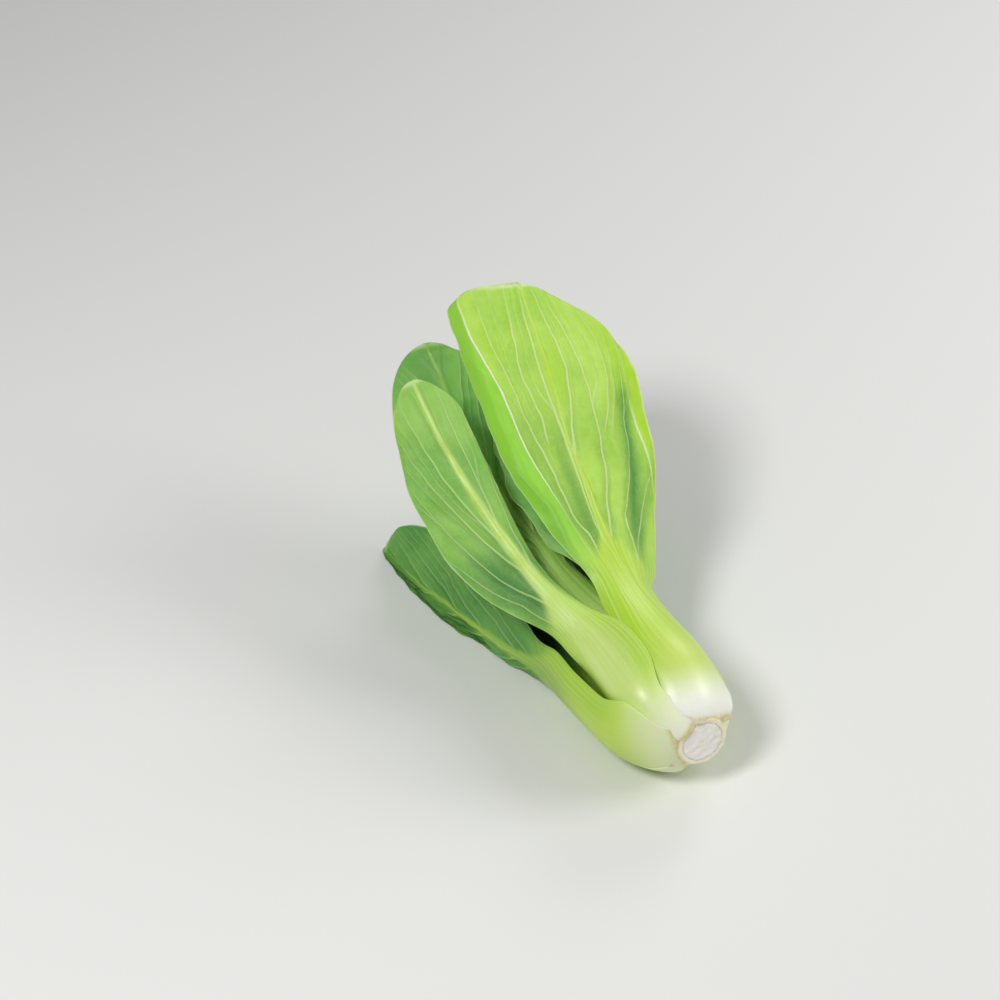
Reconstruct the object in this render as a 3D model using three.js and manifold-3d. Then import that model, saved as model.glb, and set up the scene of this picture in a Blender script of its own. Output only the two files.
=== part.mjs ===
// A head of baby bok choy, cut from its root and lying on its side.
//
// Millimetres, +Z up. The head's axis runs along +Y, AXIS_HEIGHT over the surface it lies on: the
// cut end of the stem is at the -Y end and the leaf blades fan out towards +Y. Every leaf is one
// solid, a fleshy stalk that thins out into the blade, grown from the stem base in the middle.
// The lowest leaf carries the head on its belly and lays its blade flat on the surface; the two
// side leaves touch down with the lower edge of their blades.

import * as THREE from "three";
import { mergeVertices } from "three/addons/utils/BufferGeometryUtils.js";
import Module from "manifold-3d";

const wasm = await Module();
wasm.setup();

// ---------------------------------------------------------------- driving dimensions

const AXIS_HEIGHT = 28;        // head's axis over the surface
const CLEARANCE = 0.35;        // gap kept between neighbouring leaves
const EDGE_THICKNESS = 0.5;    // along the margins of stalk and blade
const MARGIN_ALLOWANCE = 0.6;  // least half-width, so that a tip isn't a point
const FLOOR_GAP = 0.4;         // height of a pressed leaf's middle surface over the surface
const FLOOR_SOFTNESS = 2;      // rounding where a leaf bends flat onto the surface
const PRESSED_FRONT = 0.3;     // height of a pressed leaf's front face over the surface
const RIM_FROM = 0.68, RIM_BEND = 0.16;      // share of the width where a margin's own bend starts, its span
const STALK_CLOSES = 0.8;      // share of the length from which the stalk's width runs out
const FLESH_POWER = 2.2;       // how full a leaf's cross-section stays towards its margins
const LEAST_RIB = 0.3;         // least half-width of a rib
const FOLD_FADE = 0.12, FOLD_OVERRUN = 0.2;  // how soon a fold rises, and how far its line carries on
const WAVE_RISE = 0.15, WAVE_FALL = 0.08;    // share of the length a ruffle fades in and out over
const WAVE_END = 1.03;         // where a ruffle would run out, just past the tip
const ROOT_REACH = 3;          // how much farther a grown leaf reaches back at its root
const SAME_POINT = 1e-5;       // corners closer than this are one
const STEM_SIDES = 24;
const OUTER_COLUMNS = 10, OUTER_ROWS = 24;
const INNER_COLUMNS = 6, INNER_ROWS = 18;

// Looks of the leaves and of the cut stem.
const LOOKS = {
  leaf_outer: { color: 0xa9cf5b, roughness: 0.5, metalness: 0 },
  leaf_inner: { color: 0x6fae4a, roughness: 0.55, metalness: 0 },
  leaf_heart: { color: 0xb9d977, roughness: 0.55, metalness: 0 },
  cut_stem: { color: 0xeadfd6, roughness: 0.6, metalness: 0 },
};

// The stem core: [place on the axis, radius], and how far its end is sliced aslant.
const STEM_PROFILE = [[-4, 11], [-2, 11], [4, 10], [9, 7], [16, 4], [24, 1.5]];
const CUT_RISE = 0.15, CUT_SIDE = -0.1;

// Thickness: fleshy outer stalks, slimmer inner ones; and the rib that stands out of a blade's back.
const STOUT = [[0, 7], [0.1, 8], [0.25, 7.5], [0.4, 5], [0.5, 2.5], [0.7, 1], [1, 0.6]];
const SLIM = [[0, 4], [0.1, 5], [0.25, 5], [0.4, 4], [0.5, 2], [0.7, 1], [1, 0.6]];
const SLENDER = [[0, 3], [0.15, 4], [0.35, 3], [0.5, 2], [0.7, 1], [1, 0.6]];
const RIB_HEIGHT = [[0, 0], [0.4, 0], [0.5, 1.2], [0.8, 0.6], [1, 0]];
const RIB_HALF_WIDTH = [[0, 9], [0.4, 6], [0.6, 2.5], [1, 1.2]];

// Shapes that leaves share: half-width of the stalk, bend of the sides, angle to the axis, ruffles.
const OUTER_STALK = [[0, 12], [0.1, 23], [0.2, 25], [0.3, 17], [0.4, 12], [0.5, 6], [0.7, 3], [1, 0]];
const INNER_STALK = [[0, 6], [0.1, 12], [0.2, 14], [0.3, 12], [0.4, 9], [0.5, 5], [0.7, 2.5], [1, 0]];
const HEART_STALK = [[0, 4], [0.2, 7], [0.4, 6], [0.6, 3], [0.8, 1.5], [1, 0]];
const INNER_CURL = [[0, 60], [0.2, 60], [0.4, 50], [0.6, 50], [1, 30]];
const HEART_CURL = [[0, 70], [0.4, 60], [0.7, 60], [1, 30]];
const INNER_LEAN = [[0, 60], [0.05, 40], [0.15, 10], [0.2, -5], [0.3, -5], [0.4, 0], [0.5, 5],
  [0.7, 5], [1, 5]];
const OUTER_RUFFLES = [[3, 1.5, 0, 1, 0.5], [2.5, 1.5, 1, -1, 0.5]];
const INNER_RUFFLES = [[4, 1.3, 0, 1, 0.45], [3.5, 1.3, 1, -1, 0.45]];
const HEART_RUFFLES = [[3, 0.8, 0, 1, 0.45], [3, 0.8, 1, -1, 0.45]];
const STRAIGHT = [[0, 0], [1, 0]];

// The leaves, from the outside in. Lists of pairs are [share of the leaf's length, value].
//   azimuth      side of the head it grows on: 0 upwards, 90 towards -X, 180 downwards
//   root         distance of its root from the axis and place along the axis
//   lean         angle of the leaf to the axis, outwards
//   sway, twist  sideways bend and turn about its own length
//   stalk        half-width of the stalk
//   left, right  half of the blade: where it starts, where it is widest, half-width, hollowness and,
//                where it isn't 2, roundness of the tip: 1 comes to a point, 5 is squared off
//   curl..       how far each side bends inwards, in degrees at the margin; rim.. bends just the margin
//   folds        [share across at both ends, span along, height, half-width]
//   waves        margin ruffles: [count, height, phase, side, start]
const LEAVES = [
  {
    node: "outer_leaf_bottom", look: "leaf_outer", outside: true, azimuth: 185, root: [8, -3],
    length: 202,
    lean: [[0, 85], [0.05, 50], [0.1, 30], [0.2, 0], [0.3, -10], [0.4, 5], [0.5, 15], [0.7, 10], [1, 0]],
    sway: STRAIGHT, twist: STRAIGHT, stalk: OUTER_STALK, left: [0.4, 0.7, 33, 1],
    right: [0.4, 0.7, 33, 1],
    curlLeft: [[0, 20], [0.15, 55], [0.3, 45], [0.4, 30], [0.6, 10], [1, 5]],
    curlRight: [[0, 20], [0.15, 55], [0.3, 45], [0.4, 30], [0.6, 10], [1, 5]], rimLeft: STRAIGHT,
    rimRight: STRAIGHT, thick: STOUT, rib: RIB_HEIGHT, ribHalf: RIB_HALF_WIDTH, folds: [],
    waves: OUTER_RUFFLES,
  },
  {
    node: "outer_leaf_lower_left", look: "leaf_outer", outside: true, azimuth: 110, root: [8, -3],
    length: 208,
    lean: [[0, 85], [0.05, 50], [0.1, 35], [0.2, 5], [0.3, 0], [0.4, -5], [0.5, 10], [0.7, 10], [1, 5]],
    sway: [[0, 0], [0.3, 5], [1, 5]], twist: [[0, 0], [0.3, 0], [0.5, -20], [0.7, -35], [1, -35]],
    stalk: [[0, 12], [0.1, 27], [0.2, 22], [0.3, 19], [0.4, 16], [0.5, 6], [0.7, 3], [1, 0]],
    left: [0.4, 0.7, 30, 1, 2.5], right: [0.4, 0.7, 30, 1, 2.5],
    curlLeft: [[0, 20], [0.15, 55], [0.3, 65], [0.4, 35], [0.6, 20], [1, 10]],
    curlRight: [[0, 25], [0.15, 50], [0.3, 60], [0.4, 50], [0.6, 20], [1, 10]], rimLeft: STRAIGHT,
    rimRight: STRAIGHT, thick: STOUT, rib: RIB_HEIGHT, ribHalf: RIB_HALF_WIDTH, folds: [],
    waves: OUTER_RUFFLES,
  },
  {
    node: "outer_leaf_upper_left", look: "leaf_outer", outside: true, azimuth: 50, root: [8, -3],
    length: 200,
    lean: [[0, 85], [0.05, 50], [0.1, 35], [0.2, -5], [0.3, 0], [0.4, 20], [0.7, 25], [1, 30]],
    sway: [[0, 0], [0.3, -5], [0.5, -10], [1, -30]],
    twist: [[0, 0], [0.3, -5], [0.5, -25], [0.7, -15], [1, -10]],
    stalk: [[0, 10], [0.1, 10], [0.2, 16], [0.3, 15], [0.4, 9], [0.5, 6], [0.7, 3], [1, 0]],
    left: [0.35, 0.65, 24, 0.8], right: [0.4, 0.9, 14, 1, 1.5],
    curlLeft: [[0, 50], [0.15, 70], [0.3, 70], [0.4, 25], [0.6, 0], [1, 0]],
    curlRight: [[0, 30], [0.15, 55], [0.3, 30], [0.4, 65], [0.6, 70], [1, 35]], rimLeft: STRAIGHT,
    rimRight: STRAIGHT, thick: STOUT, rib: RIB_HEIGHT, ribHalf: RIB_HALF_WIDTH, folds: [],
    waves: [[3.5, 2, 0, 1, 0.4]],
  },
  {
    node: "outer_leaf_top", look: "leaf_outer", outside: true, azimuth: -20, root: [8, -3],
    length: 222,
    lean: [[0, 85], [0.05, 45], [0.1, 25], [0.2, 0], [0.3, 5], [0.4, 20], [0.5, 30], [0.7, 35], [1, 25]],
    sway: [[0, 0], [0.3, 0], [0.5, 5], [1, -5]],
    twist: [[0, 0], [0.3, 0], [0.5, 10], [0.7, 15], [1, 15]],
    stalk: [[0, 12], [0.1, 20], [0.2, 25], [0.3, 18], [0.4, 13], [0.5, 7], [0.7, 3], [1, 0]],
    left: [0.35, 0.95, 40, 0.6, 3], right: [0.35, 0.8, 41, 0.3, 1.7],
    curlLeft: [[0, 30], [0.15, 75], [0.3, 60], [0.4, 25], [0.6, 0], [1, -10]],
    curlRight: [[0, 10], [0.15, 75], [0.3, 55], [0.4, 35], [0.6, 10], [1, 25]],
    rimLeft: [[0, 0], [0.4, 20], [0.6, 60], [0.85, 90], [1, 80]],
    rimRight: [[0, 0], [0.5, 0], [0.65, -15], [0.8, -15], [1, 0]], thick: STOUT, rib: RIB_HEIGHT,
    ribHalf: RIB_HALF_WIDTH,
    folds: [[0.5, 0.3, 0.45, 0.95, -2, 7], [-0.55, -0.45, 0.5, 0.85, 2, 7]],
    waves: [[2.5, 1.5, 0.5, -1, 0.55]],
  },
  {
    node: "outer_leaf_right", look: "leaf_outer", outside: true, azimuth: -95, root: [8, -3],
    length: 208,
    lean: [[0, 85], [0.05, 45], [0.1, 25], [0.2, 0], [0.3, -5], [0.4, 5], [0.5, 15], [0.7, 15], [1, 10]],
    sway: [[0, 0], [0.3, 0], [1, -5]], twist: [[0, 0], [0.3, 0], [1, 10]], stalk: OUTER_STALK,
    left: [0.4, 0.7, 23, 1], right: [0.4, 0.7, 28, 1],
    curlLeft: [[0, 55], [0.15, 85], [0.3, 75], [0.4, 35], [0.6, 20], [1, 10]],
    curlRight: [[0, 30], [0.15, 65], [0.3, 60], [0.4, 35], [0.6, 20], [1, 10]], rimLeft: STRAIGHT,
    rimRight: STRAIGHT, thick: STOUT, rib: RIB_HEIGHT, ribHalf: RIB_HALF_WIDTH, folds: [],
    waves: OUTER_RUFFLES,
  },
  {
    node: "inner_leaf_top", look: "leaf_inner", outside: false, azimuth: 15, root: [6, 8],
    length: 215,
    lean: [[0, 65], [0.05, 40], [0.15, 5], [0.2, 0], [0.3, -5], [0.4, 5], [0.5, 15], [0.7, 25], [1, 25]],
    sway: [[0, 0], [0.5, 0], [1, -15]], twist: [[0, 0], [1, -15]], stalk: INNER_STALK,
    left: [0.4, 0.75, 30, 1], right: [0.4, 0.75, 32, 1], curlLeft: INNER_CURL,
    curlRight: [[0, 60], [0.4, 55], [0.6, 65], [1, 10]], rimLeft: STRAIGHT, rimRight: STRAIGHT,
    thick: SLIM, rib: RIB_HEIGHT, ribHalf: RIB_HALF_WIDTH, folds: [], waves: INNER_RUFFLES,
  },
  {
    node: "inner_leaf_upper_right", look: "leaf_inner", outside: false, azimuth: -25, root: [6, 8],
    length: 184,
    lean: [[0, 65], [0.05, 45], [0.15, 10], [0.2, 0], [0.3, 0], [0.4, 5], [0.5, 15], [0.7, 20], [1, 20]],
    sway: STRAIGHT, twist: STRAIGHT, stalk: INNER_STALK, left: [0.4, 0.7, 24, 1],
    right: [0.4, 0.7, 22, 1], curlLeft: INNER_CURL, curlRight: INNER_CURL, rimLeft: STRAIGHT,
    rimRight: STRAIGHT, thick: SLIM, rib: RIB_HEIGHT, ribHalf: RIB_HALF_WIDTH, folds: [],
    waves: INNER_RUFFLES,
  },
  {
    node: "inner_leaf_left", look: "leaf_inner", outside: false, azimuth: 70, root: [6, 9],
    length: 174, lean: INNER_LEAN, sway: STRAIGHT, twist: STRAIGHT, stalk: INNER_STALK,
    left: [0.4, 0.7, 20, 1], right: [0.4, 0.7, 22, 1], curlLeft: INNER_CURL, curlRight: INNER_CURL,
    rimLeft: STRAIGHT, rimRight: STRAIGHT, thick: SLIM, rib: RIB_HEIGHT, ribHalf: RIB_HALF_WIDTH,
    folds: [], waves: INNER_RUFFLES,
  },
  {
    node: "inner_leaf_lower_right", look: "leaf_inner", outside: false, azimuth: -125, root: [6, 9],
    length: 170, lean: INNER_LEAN, sway: STRAIGHT, twist: STRAIGHT, stalk: INNER_STALK,
    left: [0.4, 0.7, 23, 1], right: [0.4, 0.7, 23, 1], curlLeft: INNER_CURL, curlRight: INNER_CURL,
    rimLeft: STRAIGHT, rimRight: STRAIGHT, thick: SLIM, rib: RIB_HEIGHT, ribHalf: RIB_HALF_WIDTH,
    folds: [], waves: INNER_RUFFLES,
  },
  {
    node: "inner_leaf_bottom", look: "leaf_inner", outside: false, azimuth: 160, root: [6, 9],
    length: 166, lean: INNER_LEAN, sway: STRAIGHT, twist: STRAIGHT, stalk: INNER_STALK,
    left: [0.4, 0.7, 15, 1], right: [0.4, 0.7, 19, 1], curlLeft: INNER_CURL, curlRight: INNER_CURL,
    rimLeft: STRAIGHT, rimRight: STRAIGHT, thick: SLIM, rib: RIB_HEIGHT, ribHalf: RIB_HALF_WIDTH,
    folds: [], waves: INNER_RUFFLES,
  },
  {
    node: "heart_leaf_1", look: "leaf_heart", outside: false, azimuth: 40, root: [3, 18],
    length: 128, lean: [[0, 30], [0.15, 15], [0.3, 0], [0.5, 5], [1, 5]], sway: STRAIGHT,
    twist: STRAIGHT, stalk: HEART_STALK, left: [0.4, 0.7, 15, 1], right: [0.4, 0.7, 15, 1],
    curlLeft: HEART_CURL, curlRight: HEART_CURL, rimLeft: STRAIGHT, rimRight: STRAIGHT,
    thick: SLENDER, rib: RIB_HEIGHT, ribHalf: RIB_HALF_WIDTH, folds: [], waves: HEART_RUFFLES,
  },
  {
    node: "heart_leaf_2", look: "leaf_heart", outside: false, azimuth: 180, root: [3, 18],
    length: 118, lean: [[0, 30], [0.15, 10], [0.3, 0], [1, 0]], sway: STRAIGHT, twist: STRAIGHT,
    stalk: HEART_STALK, left: [0.4, 0.7, 13, 1], right: [0.4, 0.7, 13, 1], curlLeft: HEART_CURL,
    curlRight: HEART_CURL, rimLeft: STRAIGHT, rimRight: STRAIGHT, thick: SLENDER, rib: RIB_HEIGHT,
    ribHalf: RIB_HALF_WIDTH, folds: [], waves: HEART_RUFFLES,
  },
  {
    node: "heart_leaf_3", look: "leaf_heart", outside: false, azimuth: -65, root: [3, 20],
    length: 96, lean: [[0, 25], [0.15, 10], [0.3, 0], [1, 0]], sway: STRAIGHT, twist: STRAIGHT,
    stalk: [[0, 3], [0.2, 5], [0.4, 5], [0.6, 3], [0.8, 1.5], [1, 0]], left: [0.4, 0.7, 9, 1],
    right: [0.4, 0.7, 9, 1], curlLeft: HEART_CURL, curlRight: HEART_CURL, rimLeft: STRAIGHT,
    rimRight: STRAIGHT, thick: SLENDER, rib: RIB_HEIGHT, ribHalf: RIB_HALF_WIDTH, folds: [],
    waves: HEART_RUFFLES,
  },
];

// ---------------------------------------------------------------- curves along a leaf

// Smooth curve through [place, value] knots.
function profile(knots, x) {
  const last = knots.length - 1;
  const at = Math.min(Math.max(x, knots[0][0]), knots[last][0]);
  const slope = (i) => {
    const a = knots[Math.max(i - 1, 0)], b = knots[Math.min(i + 1, last)];
    return (b[1] - a[1]) / (b[0] - a[0]);
  };
  let i = 0;
  while (i < last - 1 && at >= knots[i + 1][0]) i++;
  const [x0, y0] = knots[i], [x1, y1] = knots[i + 1];
  const h = x1 - x0, t = (at - x0) / h;
  return (2 * t ** 3 - 3 * t ** 2 + 1) * y0 + (t ** 3 - 2 * t ** 2 + t) * h * slope(i)
    + (-2 * t ** 3 + 3 * t ** 2) * y1 + (t ** 3 - t ** 2) * h * slope(i + 1);
}

const clamp = (x, lo = 0, hi = 1) => Math.min(Math.max(x, lo), hi);
const soft = (x) => clamp(x) ** 2 * (3 - 2 * clamp(x));
const radians = THREE.MathUtils.degToRad;

// Half-width of one side of the blade: it rises from `start` to `widest` and closes to the tip.
function bladeSide(q, [start, widest, width, hollow, roundness = 2]) {
  if (q < widest) return width * Math.sin(Math.PI / 2 * clamp((q - start) / (widest - start))) ** hollow;
  return width * clamp(1 - ((q - widest) / (1 - widest)) ** roundness) ** (1 / roundness);
}

// Places of the rows from the root (0) to the tip (1), closer together near the rounded tip.
function rowPlaces(rows) {
  const cut = 0.66, start = 0.72;
  return Array.from({ length: rows + 1 }, (_, i) => {
    const t = i / rows, past = clamp((t - cut) / (1 - cut));
    return t < cut ? t / cut * start : start + (1 - start) * Math.sin(Math.PI / 2 * past);
  });
}

// The line along the middle of a leaf's back, with the directions out of it and across it.
function spine(leaf, places, grow) {
  const STEPS = 400, step = leaf.length / STEPS;
  const path = [[0, 0, 0]];
  for (let i = 0; i < STEPS; i++) {
    const s = (i + 0.5) / STEPS, [r, a, l] = path[i];
    const lean = radians(profile(leaf.lean, s)), sway = radians(profile(leaf.sway, s));
    path.push([r + Math.cos(sway) * Math.sin(lean) * step, a + Math.cos(sway) * Math.cos(lean) * step,
      l + Math.sin(sway) * step]);
  }
  const phi = radians(leaf.azimuth);
  const radial = new THREE.Vector3(-Math.sin(phi), 0, Math.cos(phi));
  const axial = new THREE.Vector3(0, 1, 0);
  const lateral = new THREE.Vector3(-Math.cos(phi), 0, -Math.sin(phi));
  const world = (r, a, l) => new THREE.Vector3().addScaledVector(radial, r).addScaledVector(axial, a)
    .addScaledVector(lateral, l);
  return places.map((q) => {
    const at = Math.min(Math.floor(q * STEPS), STEPS - 1), f = q * STEPS - at;
    const [r, a, l] = path[at].map((v, k) => v + (path[at + 1][k] - v) * f);
    const lean = radians(profile(leaf.lean, q)), sway = radians(profile(leaf.sway, q));
    const twist = radians(profile(leaf.twist, q));
    const along = world(Math.cos(sway) * Math.sin(lean), Math.cos(sway) * Math.cos(lean), Math.sin(sway));
    const out = world(Math.cos(lean), -Math.sin(lean), 0);
    const across = out.clone().cross(along).normalize();
    const reach = q === 0 ? -ROOT_REACH * grow : q === 1 ? grow : 0;
    return {
      point: world(r + leaf.root[0], a + leaf.root[1], l).addScaledVector(along, reach),
      out: out.clone().multiplyScalar(Math.cos(twist)).addScaledVector(across, Math.sin(twist)),
      across: across.clone().multiplyScalar(Math.cos(twist)).addScaledVector(out, -Math.sin(twist)),
    };
  });
}

// The bent cross-section: distance across and depth under the back's middle at a share u of the width.
function section(width, curl, rim, u) {
  const STEPS = 48, xs = [0], ys = [0];
  for (let i = 0; i < STEPS; i++) {
    const m = (i + 0.5) / STEPS;
    const angle = radians(curl * m + rim * soft((m - RIM_FROM) / RIM_BEND));
    xs.push(xs[i] + Math.cos(angle) / STEPS * width);
    ys.push(ys[i] + Math.sin(angle) / STEPS * width);
  }
  const at = Math.min(Math.floor(u * STEPS), STEPS - 1), f = u * STEPS - at;
  return [xs[at] + (xs[at + 1] - xs[at]) * f, ys[at] + (ys[at + 1] - ys[at]) * f];
}

// ---------------------------------------------------------------- leaves

// A leaf's two faces as grids of points, along it and across; `grow` thickens and widens it all round.
function leafFaces(leaf, columns, rows, grow) {
  const places = rowPlaces(rows), line = spine(leaf, places, grow);
  const shares = Array.from({ length: columns + 1 }, (_, j) => 2 * j / columns - 1);
  const widths = [];
  const face = places.map((q, i) => {
    const close = Math.sqrt(1 - clamp((q - STALK_CLOSES) / (1 - STALK_CLOSES)) ** 2);
    const stalk = (profile(leaf.stalk, q) * close) ** 3;
    return shares.map((u, j) => {
      const left = u >= 0, side = left ? leaf.left : leaf.right;
      const width = Math.cbrt(stalk + bladeSide(q, side) ** 3) + MARGIN_ALLOWANCE + grow;
      const curl = profile(left ? leaf.curlLeft : leaf.curlRight, q);
      const rim = profile(left ? leaf.rimLeft : leaf.rimRight, q);
      const [x, y] = section(width, curl, rim, Math.abs(u));
      let rise = 0;
      for (const [u0, u1, q0, q1, height, half] of leaf.folds) {
        const at = u0 + (u1 - u0) * clamp((q - q0) / (q1 - q0), -FOLD_OVERRUN, 1 + FOLD_OVERRUN);
        const on = soft((q - q0) / FOLD_FADE + 0.5) * soft((q1 - q) / FOLD_FADE + 0.5);
        rise += height * on * Math.exp(-(((u - at) * width / half) ** 2));
      }
      for (const [count, height, phase, hand, q0] of leaf.waves) {
        if (u * hand <= 0) continue;
        const on = clamp((q - q0) / WAVE_RISE) * clamp((WAVE_END - q) / WAVE_FALL);
        rise += height * Math.abs(u) ** 3 * on * Math.sin(2 * Math.PI * count * (q - q0) / (1 - q0) + phase);
      }
      (widths[i] ??= [])[j] = width;
      const p = line[i].point.clone().addScaledVector(line[i].across, left ? x : -x)
        .addScaledVector(line[i].out, rise - y);
      p.z += AXIS_HEIGHT;
      const over = p.z - FLOOR_GAP;
      p.z = FLOOR_GAP + 0.5 * (over + Math.sqrt(over ** 2 + FLOOR_SOFTNESS ** 2));
      return p;
    });
  });
  const outer = [], inner = [];
  places.forEach((q, i) => shares.forEach((u, j) => {
    const before = face[Math.max(i - 1, 0)][j], after = face[Math.min(i + 1, rows)][j];
    const low = face[i][Math.max(j - 1, 0)], high = face[i][Math.min(j + 1, columns)];
    const normal = after.clone().sub(before).cross(high.clone().sub(low)).normalize();
    const flesh = 1 - Math.abs(u) ** FLESH_POWER;
    const thick = Math.max(profile(leaf.thick, q), EDGE_THICKNESS);
    const thickness = EDGE_THICKNESS + (thick - EDGE_THICKNESS) * flesh;
    const ribHalf = Math.max(profile(leaf.ribHalf, q), LEAST_RIB);
    const rib = profile(leaf.rib, q) * Math.exp(-((u * widths[i][j] / ribHalf) ** 2));
    const o = face[i][j].clone().addScaledVector(normal, rib + grow);
    const n = face[i][j].clone().addScaledVector(normal, -thickness - grow);
    o.z = Math.max(o.z, 0);
    n.z = Math.max(n.z, PRESSED_FRONT);
    (outer[i] ??= [])[j] = o;
    (inner[i] ??= [])[j] = n;
  }));
  return { outer, inner };
}

// One closed solid from the two faces, their side walls and both ends.
function solidOf({ outer, inner }) {
  const rows = outer.length, columns = outer[0].length, points = [], triangles = [];
  const index = (face, i, j) => (face * rows + i) * columns + j;
  for (const p of [outer, inner].flat(2)) points.push(p.x, p.y, p.z);
  const quad = (a, b, c, d) => triangles.push(a, b, c, a, c, d);
  for (let i = 0; i < rows - 1; i++) {
    for (let j = 0; j < columns - 1; j++) {
      quad(index(0, i, j), index(0, i + 1, j), index(0, i + 1, j + 1), index(0, i, j + 1));
      quad(index(1, i, j), index(1, i, j + 1), index(1, i + 1, j + 1), index(1, i + 1, j));
    }
    const k = columns - 1;
    quad(index(0, i, 0), index(1, i, 0), index(1, i + 1, 0), index(0, i + 1, 0));
    quad(index(0, i, k), index(0, i + 1, k), index(1, i + 1, k), index(1, i, k));
  }
  for (let j = 0; j < columns - 1; j++) {
    const k = rows - 1;
    quad(index(0, 0, j), index(0, 0, j + 1), index(1, 0, j + 1), index(1, 0, j));
    quad(index(0, k, j), index(1, k, j), index(1, k, j + 1), index(0, k, j + 1));
  }
  return solidFrom(points, triangles);
}

function solidFrom(points, triangles) {
  const geometry = new THREE.BufferGeometry();
  geometry.setAttribute("position", new THREE.Float32BufferAttribute(points, 3));
  geometry.setIndex(triangles);
  const merged = mergeVertices(geometry, SAME_POINT);
  return new wasm.Manifold(new wasm.Mesh({
    numProp: 3,
    vertProperties: new Float32Array(merged.attributes.position.array),
    triVerts: new Uint32Array(merged.index.array),
  }));
}

// The cut end of the stem: a short core the leaves grow round, its end sliced a little aslant.
function stemSolid(grow) {
  const points = [], triangles = [];
  STEM_PROFILE.forEach(([y, radius], i) => {
    for (let k = 0; k < STEM_SIDES; k++) {
      const phi = 2 * Math.PI * k / STEM_SIDES;
      const r = radius + grow, x = -r * Math.sin(phi), up = r * Math.cos(phi);
      const slice = i === 0 ? CUT_RISE * up + CUT_SIDE * x : 0;
      points.push(x, y + slice, AXIS_HEIGHT + up);
    }
  });
  const rings = STEM_PROFILE.length, low = rings * STEM_SIDES, high = low + 1;
  points.push(0, STEM_PROFILE[0][0], AXIS_HEIGHT, 0, STEM_PROFILE[rings - 1][0] + grow, AXIS_HEIGHT);
  for (let k = 0; k < STEM_SIDES; k++) {
    const n = (k + 1) % STEM_SIDES;
    for (let i = 0; i < rings - 1; i++) {
      const a = i * STEM_SIDES + k, b = i * STEM_SIDES + n, c = a + STEM_SIDES, d = b + STEM_SIDES;
      triangles.push(a, c, b, b, c, d);
    }
    triangles.push(low, k, n, high, (rings - 1) * STEM_SIDES + n, (rings - 1) * STEM_SIDES + k);
  }
  return solidFrom(points, triangles);
}

// ---------------------------------------------------------------- the head

// A leaf gives way to the stem and to every leaf outside it: what is left is its one largest body.
function tucked(solid, covers) {
  for (const cover of covers) solid = solid.subtract(cover);
  return solid.decompose().sort((a, b) => b.volume() - a.volume())[0];
}

const pieces = [["stem_base", stemSolid(0), "cut_stem"]];
const covers = [stemSolid(CLEARANCE)];
for (const leaf of LEAVES) {
  const [columns, rows] = leaf.outside ? [OUTER_COLUMNS, OUTER_ROWS] : [INNER_COLUMNS, INNER_ROWS];
  pieces.push([leaf.node, tucked(solidOf(leafFaces(leaf, columns, rows, 0)), covers), leaf.look]);
  covers.push(solidOf(leafFaces(leaf, columns, rows, CLEARANCE)));
}

// The origin is under the middle of the head, on the surface.
const box = new THREE.Box3();
for (const [, solid] of pieces) {
  const { min, max } = solid.boundingBox();
  box.expandByPoint(new THREE.Vector3(...min)).expandByPoint(new THREE.Vector3(...max));
}
const head = new THREE.Group();
head.position.set(-(box.min.x + box.max.x) / 2, -(box.min.y + box.max.y) / 2, -box.min.z);

for (const [node, solid, look] of pieces) {
  const { vertProperties, triVerts } = solid.getMesh();
  const geometry = new THREE.BufferGeometry();
  geometry.setAttribute("position", new THREE.Float32BufferAttribute(vertProperties, 3));
  geometry.setIndex(Array.from(triVerts));
  geometry.computeVertexNormals();
  const mesh = new THREE.Mesh(geometry, new THREE.MeshStandardMaterial(LOOKS[look]));
  mesh.name = node;
  head.add(mesh);
}

const part = new THREE.Group();
part.add(head);
export default part;
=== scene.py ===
"""A head of baby bok choy, cut from its root and lying on its side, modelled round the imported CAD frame.

The head's own frame has its axis along +Y at AXIS_HEIGHT over the surface and is given in millimetres,
as the leaf table below is. A leaf is a closed skin: its back (outer face), its front (inner face) and
the thin margin between them. Both faces carry the same veins, raised on the back and sunken on the front.
"""
import math

import bpy
import numpy as np
from mathutils import Matrix, Vector


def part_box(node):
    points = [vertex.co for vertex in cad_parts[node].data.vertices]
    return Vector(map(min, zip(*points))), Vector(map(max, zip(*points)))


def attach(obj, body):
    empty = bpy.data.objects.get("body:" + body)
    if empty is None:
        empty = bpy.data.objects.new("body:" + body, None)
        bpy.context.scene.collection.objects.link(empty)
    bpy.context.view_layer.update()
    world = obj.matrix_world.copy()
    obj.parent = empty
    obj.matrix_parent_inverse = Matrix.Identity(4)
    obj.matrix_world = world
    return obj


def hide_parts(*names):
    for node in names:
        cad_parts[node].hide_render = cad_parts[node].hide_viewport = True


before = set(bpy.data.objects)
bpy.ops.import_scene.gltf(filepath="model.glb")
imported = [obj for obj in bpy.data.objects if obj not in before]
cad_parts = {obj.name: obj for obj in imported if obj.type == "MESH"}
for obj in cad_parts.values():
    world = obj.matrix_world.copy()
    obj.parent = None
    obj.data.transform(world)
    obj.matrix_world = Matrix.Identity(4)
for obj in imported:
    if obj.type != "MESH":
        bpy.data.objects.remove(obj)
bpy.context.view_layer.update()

# Lengths are in mm. A place along a leaf is a share of its length, one across it a share of its half-width.
# A pair named _FROM, _SHOW, _OPENS or _NARROWS is the place where something sets in, and the span it takes.
MM = 0.001
TINY = 1e-9  # least divisor
AXIS_HEIGHT = 28.0  # head's axis over the surface
STEM_TOP = 24.0  # inner end of the stem core, along the axis from the head's zero
EDGE_THICKNESS = 0.5  # along the margins of stalk and blade
MARGIN_ALLOWANCE = 0.6  # least half-width, so that a tip isn't a point
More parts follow.
